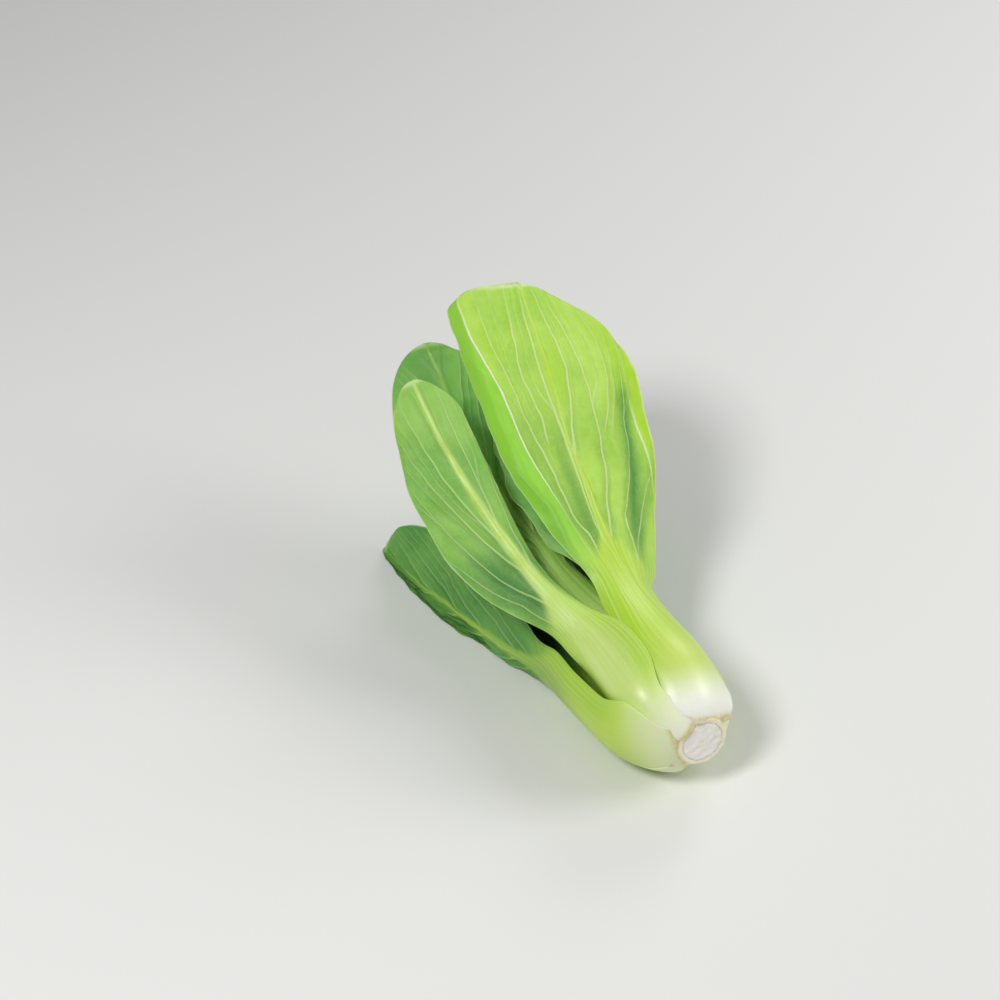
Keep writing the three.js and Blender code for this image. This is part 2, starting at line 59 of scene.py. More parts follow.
FLOOR_GAP = 0.4  # height of a pressed leaf's middle surface over the surface
FLOOR_SOFTNESS = 2.0  # rounding where a leaf bends flat onto the surface
PRESSED_FRONT = 0.3  # height of a pressed leaf's front face over the surface
RIM_FROM, RIM_BEND = 0.68, 0.16  # place across where a margin's own bend starts, and its span
STALK_CLOSES = 0.8  # place along from which the stalk's width runs out
FLESH_POWER = 2.2  # how full a leaf's cross-section stays towards its margins
LEAST_RIB = 0.3  # least half-width of a rib
FOLD_FADE, FOLD_OVERRUN = 0.12, 0.2  # how soon a fold rises, and how far its line carries on
WAVE_RISE, WAVE_FALL = 0.15, 0.08  # span along that a ruffle fades in and out over
WAVE_END = 1.03  # where a ruffle would run out, just past the tip
TIP_FADE = 0.025  # span along at the tip where the relief runs out
CREASE_HEIGHT, CREASE_HALF = 0.5, 0.9  # the sharp fold along a bent margin
NO_CREASE = 50.0  # distance from a fold given to halves that have none

# Where the blade takes over from the stalk: the midrib narrows to MIDRIB of the stalk. Across, the blade sets
# in at a share of the midrib's half-width, and fades in over as much again and some mm: BLADE_EDGE.
MIDRIB, MIDRIB_NARROWS = 0.38, (0.36, 0.12)
BLADE_EDGE = (0.7, 1.2)
BLADE_FADE_BEFORE, BLADE_FADE = 0.04, 0.15
BLADE_OPENS = (0.42, 0.1)

# Irregular bumps: the number of crossed waves, what their sum is divided by, and how their lengths vary.
CROSSED_WAVES, CROSSED_SUM, WAVELENGTHS = 7, 2.6, (0.7, 1.5)
# Each kind of unevenness has its own random waves, from its own seed added to the leaf's.
SWELL_SEED, BUCKLE_SEED, FLUTTER_SEED, MARGIN_SEED, RIB_SEED, WAVER_SEED = range(6)
SWELLS, BUCKLES, UNEVEN_FROM = (0.8, 34), (0.16, 9), (0.4, 0.15)  # (height, size) of bumps in a blade
FLUTTER = (0.45, 11, 40)  # height, size and stretch across of the bumps along its margins
STALK_RIBS = (0.07, 4.5, 18, 0.02)  # height, size, stretch across and slowness along of a stalk's ribs
RIBBED_FROM, RIBS_END = (0.18, 0.15), 0.2
MARGIN_WAVER, MARGIN_WAVERS_FROM = (0.004, 16), (0.4, 0.1)  # (share of the half-width, size)
SIDES_APART = 50.0  # distance that gives the two margins different waves
LEAVES_APART = 37.0  # distance that gives each leaf different noise in its material

# Side veins. They lift the sheet softly and stand out of its back as finer lines; each forks near its end.
VEIN_HALF, FORK_HALF = 2.2, 1.5
LINE_HEIGHT, LINE_HALF, FORK_LINE_HALF = 0.3, 0.75, 0.55
FORK_HEIGHT, FORKS_SHOW, VEINS_END = 0.55, (0.6, 0.12), 0.12
FORKS_FROM, FORKS_VARY, FORKS_TURN, FORKS_SPREAD = 0.62, 0.07, 2.4, 0.18
VEIN_WAVER, STEADY_MIDDLE = (0.007, 15), 0.15  # (share of the half-width, size), steadier by the midrib
VEINS_APART = (0.5, 40.0)  # least and greatest distance counted between neighbours
VEIN_GAP, UNBORN_GAP, UNBORN_SPAN = 0.02, 0.10, 0.03  # how far it is kept off one that branches later
BRANCH_FADE = 0.02  # span along that a branch fades in over
PAST_OUTERMOST, PAST_INNERMOST = 3.0, 0.6  # where the numbering runs on past the last veins
# Side veins of an ordinary leaf: how far over the neck they start, how fast they spread and how they bend.
FAN = [(0, 3.3, 0.75), (0.05, 2.1, 0.75), (0.1, 1.9, 0.75), (0.2, 1.9, 0.8), (0.3, 2, 0.85), (0.4, 2.2, 0.9)]
START_VARIES, SPREAD_VARIES = (-0.01, 0.01), (0.92, 1.08)

# Columns and rows of a leaf's mesh: the two in front, the other outer ones, the one behind, the inner ones
# and the heart.
FRONT_GRID, OUTER_GRID, BEHIND_GRID = (130, 290), (110, 250), (90, 230)
INNER_GRID, HEART_GRID = (64, 170), (40, 100)

low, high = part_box("stem_base")
HEAD = Vector(((low.x + high.x) / 2, high.y - STEM_TOP * MM, (low.z + high.z) / 2 - AXIS_HEIGHT * MM))

# The stem core: (place on the axis, radius), and how far its end is sliced aslant.
STEM_PROFILE = [(-4, 11), (-2, 11), (4, 10), (9, 7), (16, 4), (24, 1.5)]
CUT_RISE, CUT_SIDE = 0.15, -0.1

# Thickness: fleshy outer stalks, slimmer inner ones; and the rib that stands out of a blade's back.
STOUT = [(0, 7), (0.1, 8), (0.25, 7.5), (0.4, 5), (0.5, 2.5), (0.7, 1), (1, 0.6)]
SLIM = [(0, 4), (0.1, 5), (0.25, 5), (0.4, 4), (0.5, 2), (0.7, 1), (1, 0.6)]
SLENDER = [(0, 3), (0.15, 4), (0.35, 3), (0.5, 2), (0.7, 1), (1, 0.6)]
RIB_HEIGHT = [(0, 0), (0.4, 0), (0.5, 1.2), (0.8, 0.6), (1, 0)]
RIB_HALF_WIDTH = [(0, 9), (0.4, 6), (0.6, 2.5), (1, 1.2)]

# Shapes that leaves share: half-width of the stalk, bend of the sides, angle to the axis, ruffles.
OUTER_STALK = [(0, 12), (0.1, 23), (0.2, 25), (0.3, 17), (0.4, 12), (0.5, 6), (0.7, 3), (1, 0)]
INNER_STALK = [(0, 6), (0.1, 12), (0.2, 14), (0.3, 12), (0.4, 9), (0.5, 5), (0.7, 2.5), (1, 0)]
HEART_STALK = [(0, 4), (0.2, 7), (0.4, 6), (0.6, 3), (0.8, 1.5), (1, 0)]
INNER_CURL = [(0, 60), (0.2, 60), (0.4, 50), (0.6, 50), (1, 30)]
HEART_CURL = [(0, 70), (0.4, 60), (0.7, 60), (1, 30)]
INNER_LEAN = [(0, 60), (0.05, 40), (0.15, 10), (0.2, -5), (0.3, -5), (0.4, 0), (0.5, 5), (0.7, 5), (1, 5)]
OUTER_RUFFLES = [(3, 1.5, 0, 1, 0.5), (2.5, 1.5, 1, -1, 0.5)]
INNER_RUFFLES = [(4, 1.3, 0, 1, 0.45), (3.5, 1.3, 1, -1, 0.45)]
HEART_RUFFLES = [(3, 0.8, 0, 1, 0.45), (3, 0.8, 1, -1, 0.45)]
STRAIGHT = [(0, 0), (1, 0)]


def blade(left, right):
    """The two halves of an ordinary blade, of these half-widths."""
    return dict(left=(0.4, 0.7, left, 1), right=(0.4, 0.7, right, 1))


# The leaves, from the outside in. Lists of pairs are (share of the leaf's length, value).
#   azimuth      side of the head it grows on: 0 upwards, 90 towards -X, 180 downwards
#   root         distance of its root from the axis and place along the axis
#   lean         angle of the leaf to the axis, outwards
#   sway, twist  sideways bend and turn about its own length
#   stalk        half-width of the stalk
#   left, right  half of the blade: where it starts, where it is widest, half-width, hollowness and,
#                where it isn't 2, roundness of the tip: 1 comes to a point, 5 is squared off
#   curl_..      how far each side bends inwards, in degrees at the margin; rim_.. bends just the margin
#   folds        (share across at both ends, span along, height, half-width); ridges are finer ones,
#                shade and light strokes: painted shade in darker green, painted light in limier green
#   waves        margin ruffles: (count, height, phase, side, start)
#   midrib       how much of the stalk's width goes on up the blade
#   veins_..     the side veins from the margin inwards, each as (place along, place across);
#   crease_..    the line of a sharp fold, given the same way
# What the leaves of each kind have in common, where a leaf's own row doesn't say otherwise.
OUTER = dict(
    slot="leaf_outer", tint="deep", grid=OUTER_GRID, root=(8, -3), sway=STRAIGHT, twist=STRAIGHT,
    stalk=OUTER_STALK, thick=STOUT, waves=OUTER_RUFFLES)
INNER = dict(
    slot="leaf_inner", tint="inner", grid=INNER_GRID, root=(6, 9), lean=INNER_LEAN, sway=STRAIGHT,
    twist=STRAIGHT, stalk=INNER_STALK, curl_left=INNER_CURL, curl_right=INNER_CURL, thick=SLIM,
    waves=INNER_RUFFLES)
HEART = dict(
    slot="leaf_heart", tint="heart", grid=HEART_GRID, root=(3, 18), sway=STRAIGHT, twist=STRAIGHT,
    stalk=HEART_STALK, curl_left=HEART_CURL, curl_right=HEART_CURL, thick=SLENDER, waves=HEART_RUFFLES)
LEAVES = [
    dict(OUTER, node="outer_leaf_bottom", azimuth=185, length=202,
        lean=[(0, 85), (0.05, 50), (0.1, 30), (0.2, 0), (0.3, -10), (0.4, 5), (0.5, 15), (0.7, 10), (1, 0)],
        **blade(33, 33), curl_left=[(0, 20), (0.15, 55), (0.3, 45), (0.4, 30), (0.6, 10), (1, 5)],
        curl_right=[(0, 20), (0.15, 55), (0.3, 45), (0.4, 30), (0.6, 10), (1, 5)]),
    dict(OUTER, node="outer_leaf_lower_left", azimuth=110, length=208,
        lean=[(0, 85), (0.05, 50), (0.1, 35), (0.2, 5), (0.3, 0), (0.4, -5), (0.5, 10), (0.7, 10), (1, 5)],
        sway=[(0, 0), (0.3, 5), (1, 5)], twist=[(0, 0), (0.3, 0), (0.5, -20), (0.7, -35), (1, -35)],
        stalk=[(0, 12), (0.1, 27), (0.2, 22), (0.3, 19), (0.4, 16), (0.5, 6), (0.7, 3), (1, 0)],
        left=(0.4, 0.7, 30, 1, 2.5), right=(0.4, 0.7, 30, 1, 2.5),
        curl_left=[(0, 20), (0.15, 55), (0.3, 65), (0.4, 35), (0.6, 20), (1, 10)],
        curl_right=[(0, 25), (0.15, 50), (0.3, 60), (0.4, 50), (0.6, 20), (1, 10)]),
    dict(OUTER, node="outer_leaf_upper_left", tint="soft", grid=FRONT_GRID, azimuth=50, length=200,
        lean=[(0, 85), (0.05, 50), (0.1, 35), (0.2, -5), (0.3, 0), (0.4, 20), (0.7, 25), (1, 30)],
        sway=[(0, 0), (0.3, -5), (0.5, -10), (1, -30)],
        twist=[(0, 0), (0.3, -5), (0.5, -25), (0.7, -15), (1, -10)],
        stalk=[(0, 10), (0.1, 10), (0.2, 16), (0.3, 15), (0.4, 9), (0.5, 6), (0.7, 3), (1, 0)],
        left=(0.35, 0.65, 24, 0.8), right=(0.4, 0.9, 14, 1, 1.5),
        curl_left=[(0, 50), (0.15, 70), (0.3, 70), (0.4, 25), (0.6, 0), (1, 0)],
        curl_right=[(0, 30), (0.15, 55), (0.3, 30), (0.4, 65), (0.6, 70), (1, 35)],
        waves=[(3.5, 2, 0, 1, 0.4)],
        veins_left=[
            [(0.35, 0), (0.4, 0.4), (0.5, 0.75), (0.6, 0.9), (0.7, 1.1), (1, 1.5)],
            [(0.4, 0), (0.5, 0.45), (0.6, 0.6), (0.75, 0.8), (1, 1.1)],
            [(0.45, 0), (0.6, 0.25), (0.7, 0.4), (0.8, 0.55), (1, 0.8)],
            [(0.55, 0), (0.75, 0.25), (1, 0.4)]],
        veins_right=[
            [(0.45, 0), (0.6, 0.3), (0.7, 0.55), (0.8, 0.8), (1, 1.2)],
            [(0.6, 0), (0.75, 0.3), (1, 0.5)]],
        # Painted shade over the left half of the blade.
        painted_shades=[(0.35, 0.55, 0.4, 0.6, 0.8, 7)]),
    dict(OUTER, node="outer_leaf_top", tint="fresh", grid=FRONT_GRID, azimuth=-20, length=222,
        lean=[(0, 85), (0.05, 45), (0.1, 25), (0.2, 0), (0.3, 5), (0.4, 20), (0.5, 30), (0.7, 35), (1, 25)],
        sway=[(0, 0), (0.3, 0), (0.5, 5), (1, -5)],
        twist=[(0, 0), (0.3, 0), (0.5, 10), (0.7, 15), (1, 15)],
        stalk=[(0, 12), (0.1, 20), (0.2, 25), (0.3, 18), (0.4, 13), (0.5, 7), (0.7, 3), (1, 0)],
        left=(0.35, 0.95, 40, 0.6, 3), right=(0.35, 0.8, 41, 0.3, 1.7),
        curl_left=[(0, 30), (0.15, 75), (0.3, 60), (0.4, 25), (0.6, 0), (1, -10)],
        curl_right=[(0, 10), (0.15, 75), (0.3, 55), (0.4, 35), (0.6, 10), (1, 25)],
        rim_left=[(0, 0), (0.4, 20), (0.6, 60), (0.85, 90), (1, 80)],
        rim_right=[(0, 0), (0.5, 0), (0.65, -15), (0.8, -15), (1, 0)],
        folds=[(0.5, 0.3, 0.45, 0.95, -2, 7), (-0.55, -0.45, 0.5, 0.85, 2, 7)],
        waves=[(2.5, 1.5, 0.5, -1, 0.55)], midrib=0.15,
        veins_left=[
            [(0.35, 0), (0.4, 0.6), (0.5, 0.7), (0.6, 0.85), (0.7, 1), (1, 1.4)],
            [(0.4, 0), (0.5, 0.35), (0.65, 0.35), (0.75, 0.45), (0.9, 0.55), (1, 0.6)],
            [(0.65, 0.25), (0.7, 0.25), (0.8, 0.3), (0.9, 0.25), (1, 0.2)],
            [(0.4, 0), (0.5, 0.1), (0.65, 0.05), (0.8, 0.1), (1, 0.05)]],
        veins_right=[
            [(0.35, 0), (0.4, 0.4), (0.5, 0.75), (0.65, 1.1), (1, 1.6)],
            [(0.35, 0), (0.4, 0.15), (0.5, 0.45), (0.6, 0.65), (0.8, 0.85), (1, 1)],
            [(0.65, 0.4), (0.75, 0.6), (0.85, 0.65), (1, 0.5)],
            [(0.4, 0), (0.55, 0.25), (0.65, 0.35), (0.85, 0.35), (1, 0.2)],
            [(0.6, 0), (0.7, 0.1), (0.8, 0.2), (1, 0.1)]],
        crease_left=[(0.3, 1.3), (0.35, 0.75), (0.4, 0.6), (0.5, 0.5), (0.6, 0.55), (0.8, 0.65), (0.9, 0.75),
            (1, 0.8)],
        crease_right=[(0.4, 1.3), (0.5, 1), (0.6, 0.9), (0.75, 0.85), (0.85, 0.95), (1, 1.2)],
        ridges=[(-0.45, -0.7, 0.6, 0.85, 1, 3.5), (-0.55, -0.8, 0.4, 0.75, -1, 4),
            (0.25, 0.1, 0.4, 0.6, 0.5, 1), (0.15, 0.05, 0.4, 0.6, -1, 1.5),
            (-0.15, -0.05, 0.4, 0.6, -1, 1.5), (0.4, 0.4, 0.5, 0.8, -1, 3)],
        # Painted shade in the valleys and left of the midrib; painted light in lime patches and along the
        # right margin.
        painted_shades=[(-0.55, -0.7, 0.4, 0.6, 1, 4.5), (-0.7, -0.8, 0.6, 0.75, 1, 3.5),
            (0.25, 0.15, 0.4, 0.65, 0.6, 2.5), (0.5, 0.5, 0.45, 0.7, 0.4, 5)],
        painted_lights=[(0.55, 0.6, 0.85, 0.9, 0.8, 6), (-0.05, -0.1, 0.75, 0.85, 0.7, 5),
            (-0.9, -0.85, 0.7, 0.9, 0.9, 6)]),
    dict(OUTER, node="outer_leaf_right", azimuth=-95, length=208,
        lean=[(0, 85), (0.05, 45), (0.1, 25), (0.2, 0), (0.3, -5), (0.4, 5), (0.5, 15), (0.7, 15), (1, 10)],
        sway=[(0, 0), (0.3, 0), (1, -5)], twist=[(0, 0), (0.3, 0), (1, 10)], **blade(23, 28),
        curl_left=[(0, 55), (0.15, 85), (0.3, 75), (0.4, 35), (0.6, 20), (1, 10)],
        curl_right=[(0, 30), (0.15, 65), (0.3, 60), (0.4, 35), (0.6, 20), (1, 10)]),
    dict(INNER, node="inner_leaf_top", grid=BEHIND_GRID, azimuth=15, root=(6, 8), length=215,
        lean=[(0, 65), (0.05, 40), (0.15, 5), (0.2, 0), (0.3, -5), (0.4, 5), (0.5, 15), (0.7, 25), (1, 25)],
        sway=[(0, 0), (0.5, 0), (1, -15)], twist=[(0, 0), (1, -15)], left=(0.4, 0.75, 30, 1),
        right=(0.4, 0.75, 32, 1), curl_right=[(0, 60), (0.4, 55), (0.6, 65), (1, 10)],
        # Painted shade towards the tip, painted light over the middle of the blade.
        painted_shades=[(0.5, 0.2, 0.8, 1, 0.35, 12)],
        painted_lights=[(0.25, 0.1, 0.4, 0.65, 0.9, 12), (-0.3, -0.1, 0.4, 0.6, 0.8, 9)]),
    dict(INNER, node="inner_leaf_upper_right", azimuth=-25, root=(6, 8), length=184,
        lean=[(0, 65), (0.05, 45), (0.15, 10), (0.2, 0), (0.3, 0), (0.4, 5), (0.5, 15), (0.7, 20), (1, 20)],
        **blade(24, 22)),
    dict(INNER, node="inner_leaf_left", azimuth=70, length=174, **blade(20, 22)),
    dict(INNER, node="inner_leaf_lower_right", azimuth=-125, length=170, **blade(23, 23)),
    dict(INNER, node="inner_leaf_bottom", azimuth=160, length=166, **blade(15, 19)),
    dict(HEART, node="heart_leaf_1", azimuth=40, length=128,
        lean=[(0, 30), (0.15, 15), (0.3, 0), (0.5, 5), (1, 5)], **blade(15, 15)),
    dict(HEART, node="heart_leaf_2", azimuth=180, length=118, lean=[(0, 30), (0.15, 10), (0.3, 0), (1, 0)],
        **blade(13, 13)),
    dict(HEART, node="heart_leaf_3", azimuth=-65, root=(3, 20), length=96,
        lean=[(0, 25), (0.15, 10), (0.3, 0), (1, 0)],
        stalk=[(0, 3), (0.2, 5), (0.4, 5), (0.6, 3), (0.8, 1.5), (1, 0)], **blade(9, 9)),
]

# ------ curves along a leaf

def profile(knots, x):
    """Smooth curve through (place, value) knots."""
    places, values = np.array(knots, float).T
    before = np.maximum(np.arange(len(knots)) - 1, 0)
    after = np.minimum(np.arange(len(knots)) + 1, len(knots) - 1)
    slopes = (values[after] - values[before]) / (places[after] - places[before])
    x = np.clip(np.asarray(x, float), places[0], places[-1])
    i = np.clip(np.searchsorted(places, x, side="right") - 1, 0, len(knots) - 2)
    h = places[i + 1] - places[i]
    t = (x - places[i]) / h
    return ((2 * t**3 - 3 * t**2 + 1) * values[i] + (t**3 - 2 * t**2 + t) * h * slopes[i]
            + (-2 * t**3 + 3 * t**2) * values[i + 1] + (t**3 - t**2) * h * slopes[i + 1])


def soft(x):
    """0 up to 0, 1 from 1 on, and eased between."""
    x = np.clip(x, 0, 1)
    return x * x * (3 - 2 * x)


def rising(x, start, span):
    """0 before `start`, eased to 1 over `span`."""
    return soft((x - start) / span)


def falling(x, span, end=1.0):
    """1 at first, eased to 0 over the last `span` before `end`."""
    return soft((end - x) / span)


def ripple(x, y, seed, size):
    """Smooth irregular bumps, mostly between -1 and 1 and about `size` long, from a few crossed waves."""
    rng = np.random.default_rng(seed)
    total = 0.0
    for _ in range(CROSSED_WAVES):
        angle, phase = rng.uniform(0, math.pi), rng.uniform(0, 2 * math.pi)
        wavelength = size * rng.uniform(*WAVELENGTHS)
        total = total + np.sin((x * math.cos(angle) + y * math.sin(angle)) * 2 * math.pi / wavelength + phase)
    return total / CROSSED_SUM


def blade_side(q, side):
    """Half-width of one side of the blade: it rises from `start` to `widest` and closes to the tip."""
    start, widest, width, hollow, roundness = (*side, 2)[:5]
    rise = np.sin(math.pi / 2 * np.clip((q - start) / (widest - start), 0, 1)) ** hollow
    fall = np.clip(1 - (np.clip(q - widest, 0, 1) / (1 - widest)) ** roundness, 0, 1) ** (1 / roundness)
    return width * np.where(q < widest, rise, fall)


def row_places(rows):
    """Places of the rows from the root (0) to the tip (1), closer together near the rounded tip."""
    cut, start = 0.66, 0.72
    t = np.linspace(0, 1, rows + 1)
    tip = start + (1 - start) * np.sin(math.pi / 2 * np.clip((t - cut) / (1 - cut), 0, 1))
    return np.where(t < cut, t / cut * start, tip)


def direction(lean, sway):
    """Unit steps along a leaf, as (away from the axis, along it, sideways)."""
    return np.stack([np.cos(sway) * np.sin(lean), np.cos(sway) * np.cos(lean), np.sin(sway)], 1)


def spine(leaf, q):
    """The line along the middle of a leaf's back, with the directions out of it and across it."""
    steps = 400
    s = (np.arange(steps) + 0.5) / steps
    moves = direction(np.radians(profile(leaf["lean"], s)), np.radians(profile(leaf["sway"], s)))
    path = np.concatenate([np.zeros((1, 3)), np.cumsum(moves * leaf["length"] / steps, 0)])
    point = np.stack([np.interp(q, np.linspace(0, 1, steps + 1), path[:, k]) for k in range(3)], 1)
    point += np.array([*leaf["root"], 0.0])
    lean, twist = np.radians(profile(leaf["lean"], q)), np.radians(profile(leaf["twist"], q))[:, None]
    along = direction(lean, np.radians(profile(leaf["sway"], q)))
    out = np.stack([np.cos(lean), -np.sin(lean), np.zeros(len(q))], 1)
    across = np.cross(out, along)
    across /= np.linalg.norm(across, axis=1)[:, None]
    phi = math.radians(leaf["azimuth"])
    turn = np.array([[-math.sin(phi), 0, math.cos(phi)], [0, 1, 0], [-math.cos(phi), 0, -math.sin(phi)]])
    return (point @ turn, (out * np.cos(twist) + across * np.sin(twist)) @ turn,
            (across * np.cos(twist) - out * np.sin(twist)) @ turn)


def section(widths, curl, rim, shares):
    """The bent cross-section of one side: distance across, and depth under the back's middle."""
    steps = 48
    m = (np.arange(steps) + 0.5) / steps
    angle = np.radians(curl[:, None] * m + rim[:, None] * rising(m, RIM_FROM, RIM_BEND))
    xs = np.pad(np.cumsum(np.cos(angle) / steps * widths[:, None], 1), ((0, 0), (1, 0)))
    ys = np.pad(np.cumsum(np.sin(angle) / steps * widths[:, None], 1), ((0, 0), (1, 0)))
    at = np.minimum((shares * steps).astype(int), steps - 1)
    f = shares * steps - at
    return xs[:, at] * (1 - f) + xs[:, at + 1] * f, ys[:, at] * (1 - f) + ys[:, at + 1] * f


# ------ leaves

def halves(u):
    """The two halves of a leaf: the sign of their side, their name and the columns they take."""
    return (1, "left", u >= 0), (-1, "right", u < 0)


def vein_fan(leaf, name, q):
    """The side veins of one half, from the margin inwards: where each starts, and its place across."""
    if "veins_" + name in leaf:
        return [(vein[0][0], profile(vein, q)) for vein in leaf["veins_" + name]]
    rng = np.random.default_rng(leaf["seed"] * 10 + len(name))
    veins = []
    for start, spread, bend in FAN:
        start += leaf[name][0] + rng.uniform(*START_VARIES)
        above = q - start
        veins.append((start, spread * rng.uniform(*SPREAD_VARIES) * np.sign(above) * np.abs(above) ** bend))
    return veins


def vein_field(veins, q, share):
    """A field over half a blade with whole numbers on its side veins, 1 at the outermost and rising inwards,
    and how far those veins show: a branch begins where it leaves its neighbour."""
    starts, paths = [start for start, _ in veins], [path[:, None] for _, path in veins]
    for k in reversed(range(len(paths) - 1)):
        unborn = falling(q, UNBORN_SPAN, starts[k])
        paths[k] = np.maximum(paths[k], paths[k + 1] + VEIN_GAP + UNBORN_GAP * unborn)
    field = np.full(share.shape, len(paths) + 0.5)
    paths = [paths[0] + PAST_OUTERMOST, *paths, paths[-1] - PAST_INNERMOST]
    for k in range(len(paths) - 1):
        outer, inner = paths[k], paths[k + 1]
        between = (share <= outer) & (share > inner)
        field = np.where(between, k + (outer - share) / (outer - inner), field)
    nearest = np.clip(np.rint(field).astype(int), 1, len(starts)) - 1
    return field, rising(q, np.array(starts)[nearest], BRANCH_FADE)


def strokes(g, lines):
    """Soft strokes along a leaf, summed: (share across at both ends, span along, strength, half-width)."""
    total = np.zeros_like(g["u"])
    for u0, u1, q0, q1, strength, half in lines:
        at = u0 + (u1 - u0) * np.clip((g["q"] - q0) / (q1 - q0), -FOLD_OVERRUN, 1 + FOLD_OVERRUN)
        on = soft((g["q"] - q0) / FOLD_FADE + 0.5) * soft((q1 - g["q"]) / FOLD_FADE + 0.5)
        total += strength * on * np.exp(-(((g["u"] - at) * g["width"] / half) ** 2))
    return total


def off_vein(field, step):
    """Distance to the nearest vein of a field, in mm."""
    return np.abs((field + 0.5) % 1 - 0.5) * step


def add_veins(leaf, g):
    """The fields of a leaf's side veins and of their forks, and the distance between neighbours in mm."""
    q, u = g["q"][:, 0], g["u"][0]
    g["vein"], g["vein_on"] = np.zeros(g["q"].shape), np.zeros(g["q"].shape)
    share, size = VEIN_WAVER
    wander = share * ripple(g["across"], g["along"], leaf["seed"] + WAVER_SEED, size)
    wander = wander * rising(np.abs(g["u"]), 0, STEADY_MIDDLE)
    for _, name, half in halves(u):
        full = np.maximum.accumulate(g["width"][:, half], axis=0)
        span = np.abs(g["u"][:, half]) * g["width"][:, half] / full + wander[:, half]
        g["vein"][:, half], g["vein_on"][:, half] = vein_field(vein_fan(leaf, name, q), q[:, None], span)
    forks_from = FORKS_FROM + FORKS_VARY * np.sin(g["vein"] * FORKS_TURN + leaf["seed"])
    g["fork"] = g["vein"] + 0.5 * rising(g["q"], forks_from, FORKS_SPREAD)
    down = np.gradient(g["vein"], axis=0) / np.maximum(np.gradient(g["along"], axis=0), TINY)
    sideways = np.gradient(g["vein"], axis=1) / np.maximum(np.abs(np.gradient(g["across"], axis=1)), TINY)
    g["step"] = np.clip(1 / np.maximum(np.hypot(down, sideways), TINY), *VEINS_APART)


def leaf_grid(leaf, columns, rows):
    """What the shape and the material of a leaf are worked out from, at every point of its grid."""
    q, u = row_places(rows), np.linspace(-1, 1, columns + 1)
    stalk, shape = profile(leaf["stalk"], q), (rows + 1, columns + 1)
    close = np.sqrt(1 - np.clip((q - STALK_CLOSES) / (1 - STALK_CLOSES), 0, 1) ** 2)
    g = {"q": np.broadcast_to(q[:, None], shape), "u": np.broadcast_to(u[None, :], shape)}
    for key in ("x", "depth", "width", "started"):
        g[key] = np.zeros(shape)
    g["crease"] = np.full(shape, -NO_CREASE)
    for hand, name, half in halves(u):
        width = np.cbrt((stalk * close) ** 3 + blade_side(q, leaf[name]) ** 3) + MARGIN_ALLOWANCE
        share, size = MARGIN_WAVER
        waver = share * ripple(q * leaf["length"], SIDES_APART * hand, leaf["seed"] + MARGIN_SEED, size)
        width *= 1 + waver * rising(q, *MARGIN_WAVERS_FROM)
        rim = profile(leaf.get("rim_" + name, STRAIGHT), q)
        x, depth = section(width, profile(leaf["curl_" + name], q), rim, np.abs(u[half]))
        g["x"][:, half], g["depth"][:, half], g["width"][:, half] = hand * x, depth, width[:, None]
        g["started"][:, half] = rising(q, leaf[name][0] - BLADE_FADE_BEFORE, BLADE_FADE)[:, None]
        if "crease_" + name in leaf:
            fold = np.abs(u[half]) - profile(leaf["crease_" + name], q)[:, None]
            g["crease"][:, half] = fold * width[:, None]
    g["across"], g["along"] = g["u"] * g["width"], g["q"] * leaf["length"]
    band = (stalk * (1 - (1 - leaf.get("midrib", MIDRIB)) * rising(q, *MIDRIB_NARROWS)))[:, None]
    inside, softness = BLADE_EDGE
    g["lamina"] = rising(np.abs(g["across"]), inside * band, softness + inside * band) * g["started"]
    add_veins(leaf, g)
    # Strokes of painted light and of painted shade, which the material reads.
    g["painted_light"] = strokes(g, leaf.get("painted_lights", []))
    g["painted_shade"] = strokes(g, leaf.get("painted_shades", []))
    return g


def vein_bumps(g, main_half, fork_half):
    """Height of the side veins, from 1 at their thickest to 0 between them."""
    share = np.abs(g["u"])
    main = np.exp(-(off_vein(g["vein"], g["step"]) / main_half) ** 2) * (1 - 0.5 * share) * g["vein_on"]
    fork = np.exp(-(off_vein(g["fork"], g["step"]) / fork_half) ** 2) * FORK_HEIGHT
    fork *= rising(g["q"], *FORKS_SHOW)
    return np.maximum(main, fork) * g["lamina"] * falling(share, VEINS_END)


def relief(leaf, g):
    """How far the back stands out of its bent sheet, in mm, the same on both faces."""
    q, u, along, lamina, seed = g["q"], g["u"], g["along"], g["lamina"], leaf["seed"]
    share = np.abs(u)
    rise = strokes(g, leaf.get("folds", []) + leaf.get("ridges", []))
    rise += CREASE_HEIGHT * np.exp(-((g["crease"] / CREASE_HALF) ** 2)) * rising(q, *BLADE_OPENS)
    for count, height, phase, hand, q0 in leaf["waves"]:
        on = np.clip((q - q0) / WAVE_RISE, 0, 1) * np.clip((WAVE_END - q) / WAVE_FALL, 0, 1) * (u * hand > 0)
        rise += height * share**3 * on * np.sin(2 * math.pi * count * (q - q0) / (1 - q0) + phase)
    for seed_step, (height, size) in ((SWELL_SEED, SWELLS), (BUCKLE_SEED, BUCKLES)):
        rise += height * ripple(g["across"], along, seed + seed_step, size) * rising(q, *UNEVEN_FROM)
    height, size, stretch = FLUTTER
    flutter = ripple(along, stretch * u, seed + FLUTTER_SEED, size)
    rise += lamina * height * share**4 * flutter * rising(q, *BLADE_OPENS)
    height, size, stretch, slowness = STALK_RIBS
    ribbed = (1 - lamina) * rising(q, *RIBBED_FROM) * falling(share, RIBS_END)
    rise += height * ribbed * ripple(u * stretch, along * slowness, seed + RIB_SEED, size)
    rise += vein_bumps(g, VEIN_HALF, FORK_HALF)
    return rise * falling(q, TIP_FADE)


